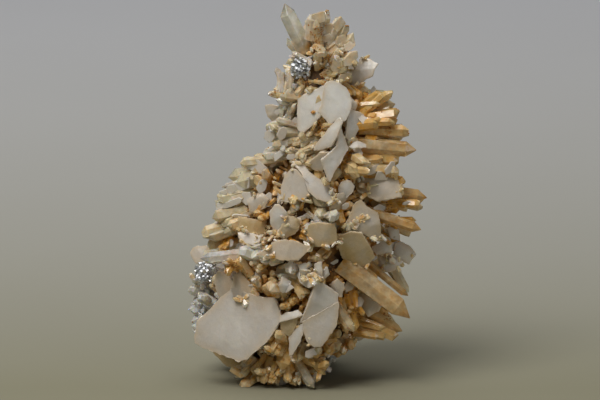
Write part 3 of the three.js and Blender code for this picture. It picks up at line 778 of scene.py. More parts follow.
def folds(points, ring, way):          # how far a plate is bent back beyond a few straight lines, in mm
    middle = ring.mean(0)
    far = np.linalg.norm(ring - middle, axis=1).max()
    along = np.array(way.orthogonal().normalized())
    across = np.cross(np.array(way), along)
    fall = 0
    for _ in range(plateShape["facets"]):
        turn = dice.uniform(0, math.tau)
        outward = (points - middle) @ (along * math.cos(turn) + across * math.sin(turn)) / far
        beyond = outward - dice.uniform(*plateShape["foldStart"])
        fall = fall + np.maximum(beyond, 0) * plateShape["fall"] * dice.uniform(*plateShape["foldShare"])
    return fall


def slab(ring, way, thick, tone):          # one flat plate with a chamfered rim, from its front outline in mm
    shape = plateShape
    bpy.ops.object.select_all(action="DESELECT")
    bpy.ops.mesh.primitive_circle_add(vertices=len(ring), radius=1, fill_type="NGON")
    piece = bpy.context.object
    piece.data.vertices.foreach_set("co", toFrame(ring).ravel())
    bpy.ops.object.mode_set(mode="EDIT")
    bpy.ops.mesh.select_all(action="SELECT")
    bpy.ops.mesh.extrude_region_move(TRANSFORM_OT_translate={"value": tuple(-way * thick * mm)})
    bpy.ops.mesh.select_all(action="SELECT")
    bpy.ops.mesh.normals_make_consistent(inside=False)
    bpy.ops.mesh.bevel(offset=shape["chamfer"] * mm, segments=2, affect="EDGES")
    bpy.ops.mesh.select_all(action="SELECT")
    bpy.ops.mesh.quads_convert_to_tris(quad_method="BEAUTY", ngon_method="BEAUTY")
    bpy.ops.object.mode_set(mode="OBJECT")
    refine(piece, shape["mesh"] * mm)
    points = cornersOf(piece)
    normals = np.array([corner.normal for corner in piece.data.vertices])
    rim = 1 - np.abs(normals @ np.array(way))
    starts = np.array(toFrame(ring))
    along = np.roll(starts, -1, 0) - starts
    offset = points[:, None] - starts[None]
    share = np.clip((offset * along).sum(2) / (along * along).sum(1), 0, 1)
    nearest = np.linalg.norm(offset - share[..., None] * along[None], axis=2).min(1)
    edge = np.exp(-(nearest / mm / shape["rimWidth"]) ** 2)
    deep = np.clip((1.12 - reach(fromFrame(points))) / 0.25, 0, 1)          # near the rock
    # Painted glow: the tone runs darker beige towards the outline, so the middle of each plate reads lit from within
    shade = tone - 0.08 + deep * shape["deepTone"] + np.exp(-nearest / mm / shape["paleWidth"]) * shape["paleTone"]
    paint(piece, tone=shade, rim=rim, stain=np.maximum(deep, edge * shape["rimStain"]), edge=edge)
    points -= np.array(way) * (folds(fromFrame(points), ring, way) * mm)[:, None]
    piece.data.vertices.foreach_set("co", points.ravel())
    piece.data.update()
    return piece


def growPlate(outline, out, leanRight, leanUp, thick, layers, tone, anchor=None, back=False):
    shape = plateShape
    steps = np.array(outline, float)
    middle = np.array(anchor or steps.mean(0))
    side = -1 if back else 1
    base = onRock(*middle, out - shape["sink"], side)
    ring = []
    for right, down in steps:
        lean = (right - middle[0]) * leanRight - (down - middle[1]) * leanUp
        ring.append(seen(right, down, base.y + lean * view["step"]))
    ring = np.array(ring)
    way = Vector(np.linalg.eigh(np.cov((ring - ring.mean(0)).T))[1][:, 0])
    if way.y * side > 0:
        way = -way          # the plate's outer face
    thin = thick * shape["thin"]
    front = ring + np.array(way) * (thick - thin) / 2
    slabs = [slab(front, way, thin, tone)]
    for layer in range(layers):          # a smaller sheet on the plate, towards one of its corners
        corner = front[dice.randint(len(front))]
        share = dice.uniform(0.45, 0.8)
        inner = corner * 0.9 + front.mean(0) * 0.1
        smaller = inner + (front - inner) * share + np.array(way) * shape["layer"] * (1 + 0.5 * layer)
        smaller += dice.normal(0, 0.35, smaller.shape) * (1 - np.abs(np.array(way)))
        slabs.append(slab(smaller, way, shape["layer"] * 2, tone + dice.uniform(-0.1, 0.05)))
    return slabs


def growCalcite(name):
    shape = plateShape
    slabs = []
    for row in plateRows[name]:
        slabs += growPlate(*row, back="back" in name)
    bpy.ops.object.select_all(action="DESELECT")
    for piece in slabs:
        piece.select_set(True)
    piece = slabs[0]
    bpy.context.view_layer.objects.active = piece
    if len(slabs) > 1:
        bpy.ops.object.join()
    piece.name = name + "_grown"
    points = cornersOf(piece)
    normals = np.array([corner.normal for corner in piece.data.vertices])
    rim = np.empty(len(points))
    piece.data.attributes["rim"].data.foreach_get("value", rim)
    steps = wobble(points, shape["stepSize"] * mm) * shape["stepCount"]
    steps = np.floor(steps) / shape["stepCount"] * shape["stepHeight"]
    push = sum(wobble(points, size * mm) * height for size, height in shape["waves"]) + steps
    push = push * (1 - rim) + rim * sum(wobble(points, size * mm) * height for size, height in shape["ragged"])
    points = points + normals * (push * mm)[:, None]
    points[:, 2] = np.maximum(points[:, 2], shape["floorGap"] * mm)
    piece.data.vertices.foreach_set("co", points.ravel())
    piece.data.update()
    pick(piece)
    bpy.ops.object.shade_smooth_by_angle(angle=shape["creaseAngle"])
    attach(piece, "root")
    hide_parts(name)
    dress(piece, calcite)
    return piece


# The large free crystals. Tone and stain: everywhere, towards the right, and near the rock
pointShape = {"bevel": 0.12, "mesh": 3, "tone": (0.16, 0.36, 0.25), "stain": (0.03, 0.45, 0.6)}


def dressPoint(name):          # its CAD shape with fine bevels
    shape = pointShape
    piece = copyOf(name, "_polished")
    bevel = piece.modifiers.new("edges", "BEVEL")
    bevel.width = shape["bevel"] * mm
    bevel.segments = 1
    applyAll(piece)
    refine(piece, shape["mesh"] * mm)
    points = fromFrame(cornersOf(piece))
    deep = np.clip((1.25 - reach(points)) / 0.35, 0, 1)
    side = (points[:, 0] - 8) / 40
    tone = shape["tone"][0] + shape["tone"][1] * side + shape["tone"][2] * deep
    stain = shape["stain"][0] + shape["stain"][2] * deep + shape["stain"][1] * np.maximum(side, 0)
    paint(piece, tone=tone, stain=stain)
    dress(piece, clear)
    return piece


galenaShape = {"cubes": 260, "sides": (0.4, 1.3), "spread": 0.42, "turn": 1.5, "halfCube": 0.7}


def anyTurn(most):          # a random turn about X and Z
    return Matrix.Rotation(dice.uniform(0, most), 3, "X") @ Matrix.Rotation(dice.uniform(0, most), 3, "Z")


def dressGalena(name):          # a heap of small cubes within the box of its CAD part
    shape = galenaShape
    low, high = (fromFrame(corner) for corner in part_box(name))
    middle, half = (low + high) / 2, (high - low) / 2
    growth = Growth()
    for _ in range(shape["cubes"]):
        spot = middle + half * dice.normal(0, shape["spread"], 3)
        side = dice.uniform(*shape["sides"])
        room = side * shape["halfCube"]
        growth.shape(cubeSeed, np.clip(spot, low + room, high - room), (side,) * 3, anyTurn(shape["turn"]), 0.5, 0)
    return growth.build(name + "_cubes", galena, name)


largeNames = [name for name in sorted(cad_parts) if name != "quartz_druse_on_rock"]
plates, others = [], []
for nodeName in largeNames:
    if nodeName.startswith("calcite"):
        plates.append(growCalcite(nodeName))
    elif nodeName.startswith("quartz"):
        others.append(dressPoint(nodeName))
    else:
        others.append(dressGalena(nodeName))
plateTree = treeOf(plates)
largeTree = treeOf(plates + others)
print("calcite, quartz points and galena dressed")


# The rock: a craggy lump inside the CAD druse, brown in front and grey at the foot's right and left. Sizes in mm
rockShape = {
    "around": 110, "rows": 130, "inset": 0.86, "crag": 2.4, "cragSizes": (9, 4), "grit": 0.8, "gritSize": 1.6,
    "ends": 2.6,          # keeps the body full up to its rounded ends
}

# Where the growth is grey and clear: how far across it begins and how high it ends, each with its blur, in mm
greyPlaces = {"left": (-16, 6, 52, 10), "right": (9, 5, 14, 4)}


def rockAt(turn, z, deeper=0.0):
    shape = rockShape
    x, y, halfX, halfY = sectionAt(z)
    out = Vector((math.cos(turn), math.sin(turn), 0))
    spot = Vector((x + out.x * halfX * shape["inset"], y + out.y * halfY * shape["inset"], z))
    large, small = shape["cragSizes"]
    crag = shape["crag"] * (noise.noise(spot / large) + 0.6 * noise.noise(spot / small))
    rough = crag + shape["grit"] * noise.noise(spot / shape["gritSize"])
    return spot + out * (rough - deeper)


def greyAt(x, z):          # how grey and clear the growth is: at the left edge and the right of the foot
    across, blur, top, fade = greyPlaces["left"]
    left = np.clip((across - x) / blur, 0, 1) * np.clip((top - z) / fade, 0, 1)
    across, blur, top, fade = greyPlaces["right"]
    right = np.clip((x - across) / blur, 0, 1) * np.clip((top - z) / fade, 0, 1)
    return np.maximum(left, right)


def makeRock():
    bpy.ops.object.select_all(action="DESELECT")
    bpy.ops.mesh.primitive_uv_sphere_add(segments=rockShape["around"], ring_count=rockShape["rows"], radius=1)
    piece = bpy.context.object
    piece.name = "rock"
    points = cornersOf(piece)
    for index, (x, y, z) in enumerate(points):
        height = sections[-1, 0] * (0.5 + math.asin(max(-1, min(1, z))) / math.pi)
        centre = Vector((*sectionAt(height)[:2], height))
        full = min(1.0, math.hypot(x, y) * rockShape["ends"])
        points[index] = centre.lerp(rockAt(math.atan2(y, x), height), full)
    points[:, 2] = np.maximum(points[:, 2], 0.0)
    piece.data.vertices.foreach_set("co", toFrame(points).ravel())
    piece.data.update()
    paint(piece, stain=1 - greyAt(points[:, 0], points[:, 2]))
    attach(piece, "root")
    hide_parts("quartz_druse_on_rock")
    dress(piece, rock)
    return piece


rockPiece = makeRock()
print("rock made")


# The druse's colours. Patch sizes in mm
druseColour = {
    "tone": 0.42, "toneRight": 0.2, "tonePatch": (0.4, 12), "toneFoot": (0.12, 25),
    "stain": 0.34, "stainPatch": (1.1, 8), "stainRight": 0.1, "leastStain": 0.03,
}

# Room that the small crystals leave: beyond a crystal's tip and before a large one, in m, and the least share of its
# length at which a crystal is kept. Then how far before the plates, galena and front crystals nothing ends, in m
room = {"beyond": 0.0004, "gap": 0.0003, "least": 0.45}
sight = {"plates": 0.014, "galena": 0.008, "front": 0.005}


def toneAt(spot):          # clear at the left edge, pale olive on the left, honey on the right
    x, y, halfX, halfY = sectionAt(spot.z)
    side = (spot.x - x) / halfX
    patch, size = druseColour["tonePatch"]
    foot, height = druseColour["toneFoot"]
    tone = druseColour["tone"] + druseColour["toneRight"] * side + patch * noise.noise(spot / size)
    tone += foot * max(0.0, 1 - spot.z / height)
    return tone * (1 - float(greyAt(spot.x, spot.z)))


def stainAt(spot):
    patch, size = druseColour["stainPatch"]
    stain = druseColour["stain"] + patch * noise.noise(spot / size + Vector((5, 9, 3)))
    stain += druseColour["stainRight"] * (spot.x - 8) / 30
    return float(np.clip(stain, druseColour["leastStain"], 1)) * (1 - 0.9 * float(greyAt(spot.x, spot.z)))


def roomFor(root, tip):          # where a crystal that meets a large one has to end, or None if there is no room
    start, end = Vector(toFrame(root)), Vector(toFrame(tip))
    along = end - start
    length = along.length
    hit = largeTree.ray_cast(start, along.normalized(), length + room["beyond"])
    if hit[0] is None:
        return tip
    return root + (tip - root) * ((hit[3] - room["gap"]) / length) if hit[3] > length * room["least"] else None


onShow = [(plateTree, sight["plates"]), (treeOf(others[:2]), sight["galena"])]


def hidesPlate(spot):          # whether a spot lies close before something that is kept in sight
    start = Vector(toFrame(spot))
    return any(tree.ray_cast(start, -toViewer, near)[0] is not None for tree, near in onShow)


# The outline in the view: step down, and the steps right at which it begins and ends
outline = np.array([
    (5, 276, 284), (14, 277, 345), (22, 280, 352), (40, 286, 357), (50, 277, 368), (62, 276, 378),
    (80, 274, 366), (93, 268, 393), (115, 264, 399), (133, 266, 407), (150, 260, 412), (160, 240, 404),
    (175, 228, 402), (195, 217, 426), (230, 204, 419), (250, 190, 414), (273, 190, 406), (295, 187, 407),
    (320, 189, 411), (334, 193, 396), (342, 197, 372), (352, 205, 350), (365, 216, 330), (376, 226, 322),
    (388, 232, 318),
], float)


def stepOf(spot):          # the step of the view at which a spot is seen
    up = spot[2] * math.cos(view["slope"]) + (spot[1] - view["frontFoot"]) * math.sin(view["slope"])
    return spot[0] / view["step"] + view["foot"][0], view["foot"][1] - up / view["step"]


backEnd = 46.0          # how far back the small crystals may reach, mm
topStep = 8          # and how high up in the view

backHalf = 12          # what is further back hides nothing, mm

# Hollows that show dark between the crystals: place and half size in the view's steps
hollows = np.array([
    (334, 263, 9, 10), (279, 357, 8, 10), (352, 312, 9, 12), (330, 59, 5, 9), (347, 167, 7, 9),
    (332, 322, 7, 8), (327, 351, 12, 12), (280, 252, 10, 4), (300, 206, 12, 5), (243, 175, 6, 5),
    (262, 208, 4, 8), (232, 246, 10, 4),
], float)


def inHollow(spot):
    right, down = stepOf(spot)
    return (np.hypot((right - hollows[:, 0]) / hollows[:, 2], (down - hollows[:, 1]) / hollows[:, 3]) < 1).any()


def inOutline(spot, margin=1.0):
    right, down = stepOf(spot)
    left, end = (np.interp(down, outline[:, 0], outline[:, column]) for column in (1, 2))
    return down > topStep and left - margin < right < end + margin and spot[1] < backEnd


def freeRoom(root, tip):          # room inside the outline, and not before a plate
    tip = roomFor(root, tip)
    return tip if tip and inOutline(tip) and (tip.y > backHalf or not hidesPlate(tip)) else None


# Quartz that the front view shows. Each row: root and tip in the view's steps, width and rise in mm, tone, stain
frontQuartz = [
    # the ones that make the outline, as in the part
    (320, 46, 326, 12, 5.5, 1, 0.3, 0.1), (326, 48, 340, 18, 5, 2, 0.3, 0.1),
    (316, 46, 308, 17, 4.6, 3, 0.3, 0.15), (329, 58, 355, 36, 5, 2, 0.4, 0.2),
    (325, 70, 356, 54, 5, 4, 0.35, 0.2), (322, 60, 315, 23, 4.4, 5, 0.4, 0.3),
    (300, 58, 275, 70, 3.2, 3, 0.4, 0.1), (310, 84, 344, 82, 3, 6, 0.35, 0.15),
    (290, 80, 280, 118, 3.6, 3, 0.2, 0.1), (298, 78, 289, 120, 3.6, 4, 0.2, 0.1),
    (292, 100, 269, 93, 3, 1, 0.4, 0.3), (355, 118, 392, 92, 4.6, 2, 0.5, 0.2),
    (355, 120, 399, 114, 5, 4, 0.6, 0.2), (352, 113, 382, 93, 4.3, 1, 0.7, 0.4),
    (355, 130, 408, 132, 5.5, 3, 0.45, 0.3), (358, 156, 398, 162, 4.6, 4, 0.6, 0.3),
    (355, 168, 398, 172, 4.8, 5, 0.3, 0.1), (358, 173, 405, 182, 4.6, 2, 0.6, 0.5),
    (370, 200, 419, 204, 3.8, 4, 0.6, 0.5), (368, 220, 416, 220, 3, 2, 0.6, 0.6),
    (360, 306, 402, 333, 5, 3, 0.4, 0.2), (355, 320, 398, 338, 4, 5, 0.5, 0.2),
    (366, 312, 392, 326, 4.4, 3, 0.3, 0.1), (305, 353, 324, 374, 4, 5, 0.8, 0.4),
    (272, 358, 262, 383, 3.8, 4, 0.6, 0.4), (285, 358, 288, 382, 3.4, 5, 0.5, 0.5),
    (255, 358, 240, 378, 3.4, 3, 0.3, 0.3), (267, 172, 228, 177, 5.5, 3, 0.3, 0.1),
    (262, 189, 218, 199, 4.2, 3, 0.35, 0.1), (287, 159, 240, 163, 3.4, 2, 0.3, 0.2),
    (298, 153, 262, 157, 3, 3, 0.2, 0.1), (298, 134, 264, 139, 4, 2, 0.2, 0.1),
    (298, 120, 266, 128, 3.8, 2, 0.2, 0.1), (244, 222, 202, 234, 4.4, 2, 0.4, 0.3),
    (252, 208, 212, 218, 4.2, 3, 0.35, 0.2), (254, 199, 216, 206, 3.8, 1, 0.3, 0.1),
    (322, 133, 296, 159, 3.4, 5, 0.3, 0.2), (318, 126, 301, 148, 3.2, 5, 0.35, 0.2),
    # summit
    (322, 46, 318, 14, 4.4, 3, 0.3, 0.1), (330, 52, 347, 27, 4.4, 3, 0.35, 0.15),
    (332, 44, 349, 38, 4.6, 4, 0.4, 0.2), (318, 70, 317, 54, 3.2, 6, 0.45, 0.3),
    (318, 60, 324, 53, 2.6, 7, 0.1, 0.05), (322, 76, 346, 60, 3.2, 6, 0.35, 0.25),
    (320, 78, 348, 70, 3.4, 6, 0.4, 0.2), (328, 72, 340, 50, 3, 6, 0.35, 0.2),
    (330, 76, 350, 76, 3.2, 4, 0.4, 0.3), (308, 62, 292, 54, 3.4, 3, 0.2, 0.2),
    (306, 78, 300, 92, 3, 4, 0.4, 0.3), (288, 78, 284, 112, 4.2, 2, 0.15, 0.05),
    (294, 94, 291, 116, 3.2, 3, 0.3, 0.2), (345, 92, 366, 108, 4, 3, 0.6, 0.5),
    (340, 84, 358, 96, 4, 3, 0.55, 0.4), (352, 96, 374, 100, 3.6, 3, 0.6, 0.5),
    (310, 66, 305, 50, 3.2, 4, 0.1, 0.2), (300, 70, 312, 82, 3.4, 5, 0.5, 0.7),
    # right side, upper
    (358, 112, 395, 105, 5.3, 2, 0.3, 0.1), (358, 124, 398, 122, 5.3, 3, 0.5, 0.2),
    (356, 116, 380, 118, 4.3, 5, 0.6, 0.5), (362, 134, 406, 130, 5.5, 2, 0.4, 0.2),
    (360, 142, 396, 141, 4.8, 4, 0.6, 0.8), (360, 150, 373, 150, 3.2, 7, 0.5, 0.3),
    (355, 160, 400, 156, 5, 1, 0.5, 0.3), (362, 165, 381, 160, 5.3, 5, 0.3, 0.1),
    (366, 172, 398, 166, 5.3, 2, 0.3, 0.1), (350, 156, 347, 177, 3.6, 5, 0.6, 0.7),
    (344, 152, 342, 176, 3, 4, 0.7, 0.8), (356, 158, 354, 178, 3, 5, 0.5, 0.5),
    # left of the upper plates
    (300, 132, 270, 132, 4.6, 3, 0.25, 0.1), (300, 140, 272, 146, 4, 4, 0.3, 0.2),
    (302, 150, 285, 152, 3.6, 5, 0.3, 0.3), (292, 160, 320, 176, 4, 7, 0.6, 0.35),
    (324, 150, 298, 165, 4.2, 5, 0.45, 0.2), (327, 158, 303, 172, 4, 5, 0.45, 0.25),
    (326, 146, 300, 154, 3.6, 5, 0.4, 0.3), (318, 136, 300, 142, 3.4, 5, 0.3, 0.2),
    (328, 128, 316, 136, 3.4, 4, 0.6, 0.9), (274, 159, 241, 166, 4.6, 3, 0.3, 0.1),
    (272, 165, 243, 160, 3.8, 4, 0.3, 0.2), (272, 175, 236, 182, 5.2, 4, 0.3, 0.1),
    (264, 181, 222, 192, 5.6, 4, 0.25, 0.05), (254, 193, 219, 202, 5, 5, 0.35, 0.1),
    (268, 188, 255, 178, 3.4, 6, 0.5, 0.6), (262, 214, 246, 209, 3.6, 6, 0.5, 0.8),
    (250, 211, 222, 226, 4.4, 4, 0.35, 0.15), (248, 217, 224, 234, 4, 4, 0.3, 0.15),
    (242, 227, 210, 238, 4.2, 2, 0.3, 0.3), (232, 233, 208, 246, 4, 4, 0.4, 0.3),
    (233, 239, 219, 252, 4, 5, 0.55, 0.9), (248, 262, 226, 268, 3.8, 6, 0.6, 0.9),
    (250, 270, 232, 262, 3.4, 6, 0.6, 0.85), (256, 254, 246, 262, 3.4, 5, 0.6, 0.8),
    # left edge, clear and grey, short and in all directions
    (206, 296, 189, 289, 4.2, 3, 0.05, 0.02), (208, 300, 193, 304, 4, 4, 0.02, 0),
    (212, 292, 200, 283, 3.6, 5, 0.05, 0.05), (206, 308, 188, 312, 3.8, 3, 0.02, 0),
    (210, 306, 202, 298, 3, 6, 0.1, 0.1), (208, 318, 190, 322, 4, 3, 0.02, 0),
    (206, 326, 192, 332, 3.6, 3, 0.02, 0), (204, 334, 194, 340, 3.4, 2, 0.05, 0),
    (204, 286, 192, 279, 3.4, 4, 0.1, 0.1), (220, 286, 214, 276, 3.2, 5, 0.3, 0.3),
    (214, 300, 208, 310, 3, 6, 0.05, 0), (206, 312, 197, 304, 2.6, 6, 0.02, 0),
    (203, 322, 199, 314, 2.4, 5, 0.02, 0), (210, 330, 200, 326, 2.6, 6, 0.05, 0),
    (222, 310, 196, 296, 4.4, 3, 0.05, 0.02),
    # centre
    (262, 290, 256, 276, 3, 6, 0.4, 0.5), (272, 296, 264, 284, 3.2, 6, 0.5, 0.6),
    (275, 286, 272, 270, 3, 5, 0.5, 0.5), (290, 300, 284, 308, 3.4, 6, 0.55, 0.6),
    (300, 296, 290, 303, 3.4, 6, 0.6, 0.8), (292, 276, 303, 297, 3.4, 7, 0.5, 0.35),
    (308, 300, 300, 312, 3, 5, 0.6, 0.7), (300, 262, 292, 270, 3, 5, 0.5, 0.5),
    (268, 262, 258, 268, 3.4, 5, 0.6, 0.7), (296, 196, 302, 210, 3.2, 4, 0.6, 0.6),
    (312, 206, 318, 216, 3, 5, 0.5, 0.5), (292, 190, 286, 203, 3, 4, 0.5, 0.6),
    # foot
    (285, 330, 268, 352, 3.8, 5, 0.6, 0.6), (290, 336, 276, 356, 3.6, 5, 0.6, 0.5),
    (282, 324, 266, 342, 3.2, 5, 0.6, 0.5), (288, 342, 282, 370, 6, 4, 0.75, 0.5),
    (302, 345, 297, 362, 5, 6, 0.45, 0.3), (306, 346, 313, 357, 4.6, 7, 0.3, 0.1),
    (294, 350, 290, 359, 4, 6, 0.4, 0.3), (262, 362, 252, 372, 3.4, 4, 0.6, 0.4),
    (270, 364, 264, 376, 3.2, 5, 0.4, 0.4), (262, 368, 250, 384, 3, 4, 0.5, 0.5),
    (276, 366, 276, 384, 3, 5, 0.5, 0.6), (290, 366, 294, 386, 3.2, 5, 0.5, 0.6),
    (298, 364, 299, 386, 3.2, 5, 0.4, 0.3), (300, 358, 323, 366, 4.4, 6, 0.7, 0.35),
    (280, 364, 271, 383, 2.8, 5, 0.5, 0.6),
    # right side, lower
    (342, 300, 350, 328, 3, 4, 0.6, 0.4), (346, 296, 356, 330, 4.6, 1, 0.85, 0.8),
    (350, 286, 358, 316, 4.4, 0, 0.85, 0.9), (350, 272, 396, 308, 5.6, 3, 0.35, 0.1),
    (352, 330, 388, 336, 4.4, 4, 0.45, 0.2), (360, 322, 396, 320, 4.6, 4, 0.3, 0.15),
    (366, 312, 399, 331, 4, 3, 0.25, 0.1), (340, 340, 346, 350, 4.4, 3, 0.45, 0.3),
    (332, 340, 341, 349, 4, 3, 0.4, 0.3), (372, 200, 404, 206, 4.1, 3, 0.5, 0.7),
    (372, 206, 400, 211, 3.6, 4, 0.5, 0.9), (380, 196, 424, 201, 4.6, 2, 0.4, 0.2),
    (384, 200, 423, 208, 4.1, 1, 0.2, 0.1), (378, 226, 400, 227, 3, 3, 0.6, 0.9),
    (380, 228, 400, 241, 4.4, 2, 0.1, 0.05), (384, 222, 411, 234, 3.6, 1, 0.25, 0.1),
    (384, 234, 407, 255, 5.4, 3, 0.65, 0.6), (392, 266, 407, 294, 4, 2, 0.08, 0),
]

# Small calcite tablets: place in the view's steps, half width and half height in mm, spin, yaw and pitch in degrees,
# and tone. Those at the summit are made blades of quartz
smallTablets = [
    (223, 193, 2.0, 1.3, 30, -20, 25, 0.0), (262, 200, 3.0, 2.8, 10, 10, 0, 0.4),
    (247, 198, 2.6, 2.5, 40, -30, 10, 0.5), (254, 209, 2.3, 1.5, 0, 0, 20, 0.3),
    (241, 216, 3.4, 1.2, -8, 0, 40, 0.1), (269, 151, 3.4, 1.0, 42, 0, 20, 0.0),
    (279, 155, 3.1, 1.5, 45, 10, 0, 0.15), (273, 165, 1.3, 0.9, 30, 0, 0, 0.0),
    (291, 157, 1.7, 1.8, 0, 0, 10, 0.35), (270, 136, 2.4, 2.7, 20, -30, 10, 0.5),
    (282, 134, 2.6, 2.2, 60, 20, 10, 0.5), (231, 243, 1.2, 1.7, 0, -30, 0, 0.1),
    (359, 153, 1.1, 1.8, 15, 0, 0, 0.0), (301, 218, 2.1, 1.4, 20, 20, 30, 0.15),
    (307, 216, 1.2, 1.5, 50, -20, 30, 0.15), (317, 219, 1.5, 1.7, 20, -20, 20, 0.1),
    (322, 224, 1.8, 1.4, 60, 30, 10, 0.1), (332, 218, 1.4, 1.7, 10, 30, 30, 0.1),
    (327, 215, 1.7, 1.1, 35, 0, 40, 0.2), (250, 287, 2.4, 1.5, 20, 0, 30, 0.2),
    (258, 275, 1.5, 1.8, 10, 20, 0, 0.2), (218, 363, 0.9, 1.2, 0, -10, 0, 0.0),
    (281, 382, 1.6, 2.8, 28, 10, 20, 0.1), (374, 258, 1.4, 1.4, 30, 10, 0, 0.1),
    (379, 209, 2.4, 1.9, 10, 20, 10, 0.45), (311, 352, 2.7, 2.6, 20, 20, 0, 0.55),
    (306, 373, 1.2, 0.9, 30, 20, 40, 0.0), (334, 262, 1.8, 1.2, 30, 0, 20, 0.1),
    (308, 265, 1.6, 1.4, 50, 20, 20, 0.1), (320, 56, 1.6, 1.0, 10, 0, 30, 0.0),
    (372, 170, 3.6, 2.6, 15, 20, 10, 0.6), (389, 168, 2.8, 2.2, 50, 30, 10, 0.5),
    (400, 246, 2.2, 1.8, 30, 40, 10, 0.4), (406, 203, 1.8, 1.0, 10, 30, 30, 0.1),
    (345, 206, 1.7, 1.3, 30, 10, 20, 0.3), (365, 302, 2.0, 2.6, 60, 20, 0, 0.4),
    (330, 30, 3.2, 2.6, 20, -10, 20, 0.35), (341, 42, 2.6, 2.2, 50, 20, 10, 0.4),
    (349, 47, 2.8, 1.9, 30, 20, 0, 0.5), (232, 203, 4.4, 2.0, 20, -15, 20, 0.3),
    (240, 186, 5.2, 2.6, 28, -20, 15, 0.35), (256, 166, 4.4, 2.4, -20, -10, 10, 0.4),
    (230, 190, 3.4, 2.0, 35, -25, 25, 0.15), (262, 186, 3.0, 2.2, 60, 10, 10, 0.4),
    (248, 226, 3.2, 1.6, -15, 0, 30, 0.2), (222, 206, 3.2, 1.8, 20, -30, 10, 0.2),
    (236, 248, 2.6, 1.6, 40, -10, 20, 0.2), (318, 20, 3.4, 2.6, 30, -15, 20, 0.3),
    (338, 26, 3.0, 2.4, 60, 20, 15, 0.35), (324, 40, 3.2, 2.4, 20, 0, 20, 0.4),
    (350, 60, 3.6, 2.4, 40, 20, 10, 0.45), (336, 66, 3.4, 2.2, 65, 0, 15, 0.4),
    (344, 78, 3.0, 1.8, 20, 20, 20, 0.45), (381, 176, 3.0, 2.2, 10, 10, 20, 0.5),
    (352, 284, 3.2, 2.2, 50, 10, 10, 0.6), (384, 292, 3.0, 1.8, 40, 20, 20, 0.5),
    (376, 226, 2.4, 1.8, 20, 20, 20, 0.4), (276, 112, 1.4, 1.2, 0, -20, 0, 0.3),
    (296, 122, 1.5, 1.8, 40, 0, 0, 0.4), (284, 144, 1.8, 1.5, 20, -10, 20, 0.35),
]

# Iron stain: place and spread in the view's steps, and how many grains
stainSpots = [
    (318, 34, 9, 60), (316, 47, 5, 20), (327, 14, 3, 8), (341, 19, 2, 5), (347, 27, 2, 5), (329, 60, 5, 14),
    (325, 78, 8, 20), (270, 110, 1.5, 6), (322, 128, 7, 30), (389, 134, 5, 34), (376, 146, 6, 30),
    (388, 176, 5, 14), (401, 184, 2, 8), (409, 186, 2, 8), (404, 198, 2, 6), (413, 198, 2, 6),
    (385, 206, 14, 60), (392, 224, 8, 30), (384, 236, 4, 10), (372, 246, 4, 12), (350, 145, 3, 6),
    (292, 158, 4, 16), (248, 210, 4, 12), (222, 250, 6, 24), (236, 268, 9, 30), (246, 278, 5, 14),
    (262, 290, 8, 16), (296, 303, 9, 30), (284, 300, 5, 10), (372, 292, 8, 24), (388, 317, 6, 20),
    (357, 312, 8, 24), (350, 335, 4, 10), (280, 355, 8, 24), (292, 376, 8, 26), (270, 378, 8, 20),
    (300, 195, 6, 10), (300, 226, 4, 8), (360, 200, 4, 14), (398, 110, 2, 4), (378, 110, 6, 12),
    (391, 250, 3, 8), (352, 100, 6, 14), (304, 84, 5, 10), (275, 92, 3, 6), (333, 268, 6, 12),
    (340, 160, 6, 14), (256, 190, 5, 8),
]
# The front's crystals. Regions are in the view's steps, and those far right, high up or left grow nearly parallel
frontShape = {
    "rootDepth": 4.0, "farRight": 374, "top": 45, "left": (272, 150, 250),
    "summit": 60, "summitTone": (-0.1, 0.1), "right": 360, "rightTone": (0.22, 0.24), "leftWidth": 1.3,
    "beside": (3, 2), "scatter": 0.7, "lean": (1.0, 0.4), "length": (0.4, 0.75), "width": (0.5, 0.9),
    "toneChange": 0.15, "stainMore": 0.15,
}


def growFront():
    shape = frontShape
    growth = Growth()
    leftEnd, leftTop, leftFoot = shape["left"]
    for right, down, tipRight, tipDown, wide, rise, tone, stain in frontQuartz:
        root = onRock(right, down, -shape["rootDepth"])
        tip = seen(tipRight, tipDown, root.y - rise)
        tip = roomFor(root, tip) or root.lerp(tip, 0.55)
        onLeft = tipRight < leftEnd and leftTop < tipDown < leftFoot
        neat = tipRight > shape["farRight"] or tipDown < shape["top"] or onLeft
        if tipDown < shape["summit"]:
            tone, stain = tone + shape["summitTone"][0], stain + shape["summitTone"][1]
        elif tipRight > shape["right"]:
            tone, stain = tone + shape["rightTone"][0], stain + shape["rightTone"][1]
        elif onLeft:
            wide = wide * shape["leftWidth"]
        growth.crystal(root, tip, wide, tone, stain)
        if not neat:
            growth.sprout(root, tip, wide, tone, stain, toViewer, freeRoom)
        along = (tip - root).normalized()
        length = (tip - root).length
        for _ in range(shape["beside"][neat]):          # smaller ones beside it
            start = root + Vector(dice.uniform(-1, 1, 3)) * wide * shape["scatter"]
            lean = (along + Vector(dice.uniform(-0.5, 0.5, 3)) * shape["lean"][neat]).normalized()
            end = freeRoom(start, start + lean * length * dice.uniform(*shape["length"]))
            if end:
                thin = wide * dice.uniform(*shape["width"])
                change = dice.uniform(-shape["toneChange"], shape["toneChange"])
                growth.crystal(start, end, thin, tone + change, stain + shape["stainMore"])
    return growth.build("quartz_front_crystals", quartz, "quartz_druse_on_rock")


# The large crystals all round, grown by the same rule as in the part. Heights, lengths and widths in mm
coverShape = {
    "count": 46, "goldenAngle": 2.399963, "around": 16, "rows": 11, "start": 5, "height": 128,
    "length": (7, 6), "width": (4, 3.6), "beside": 6, "scatter": 0.7, "lean": 0.45, "shorter": (0.45, 0.8),
    "thinner": (0.4, 0.8), "toneChange": 0.15, "stainShare": 0.6,
}


def scatter(seed):          # a fixed number from 0 to 1 for each seed
    value = math.sin(seed * 12.9898 + 4.1) * 43758.5453
    return value - math.floor(value)


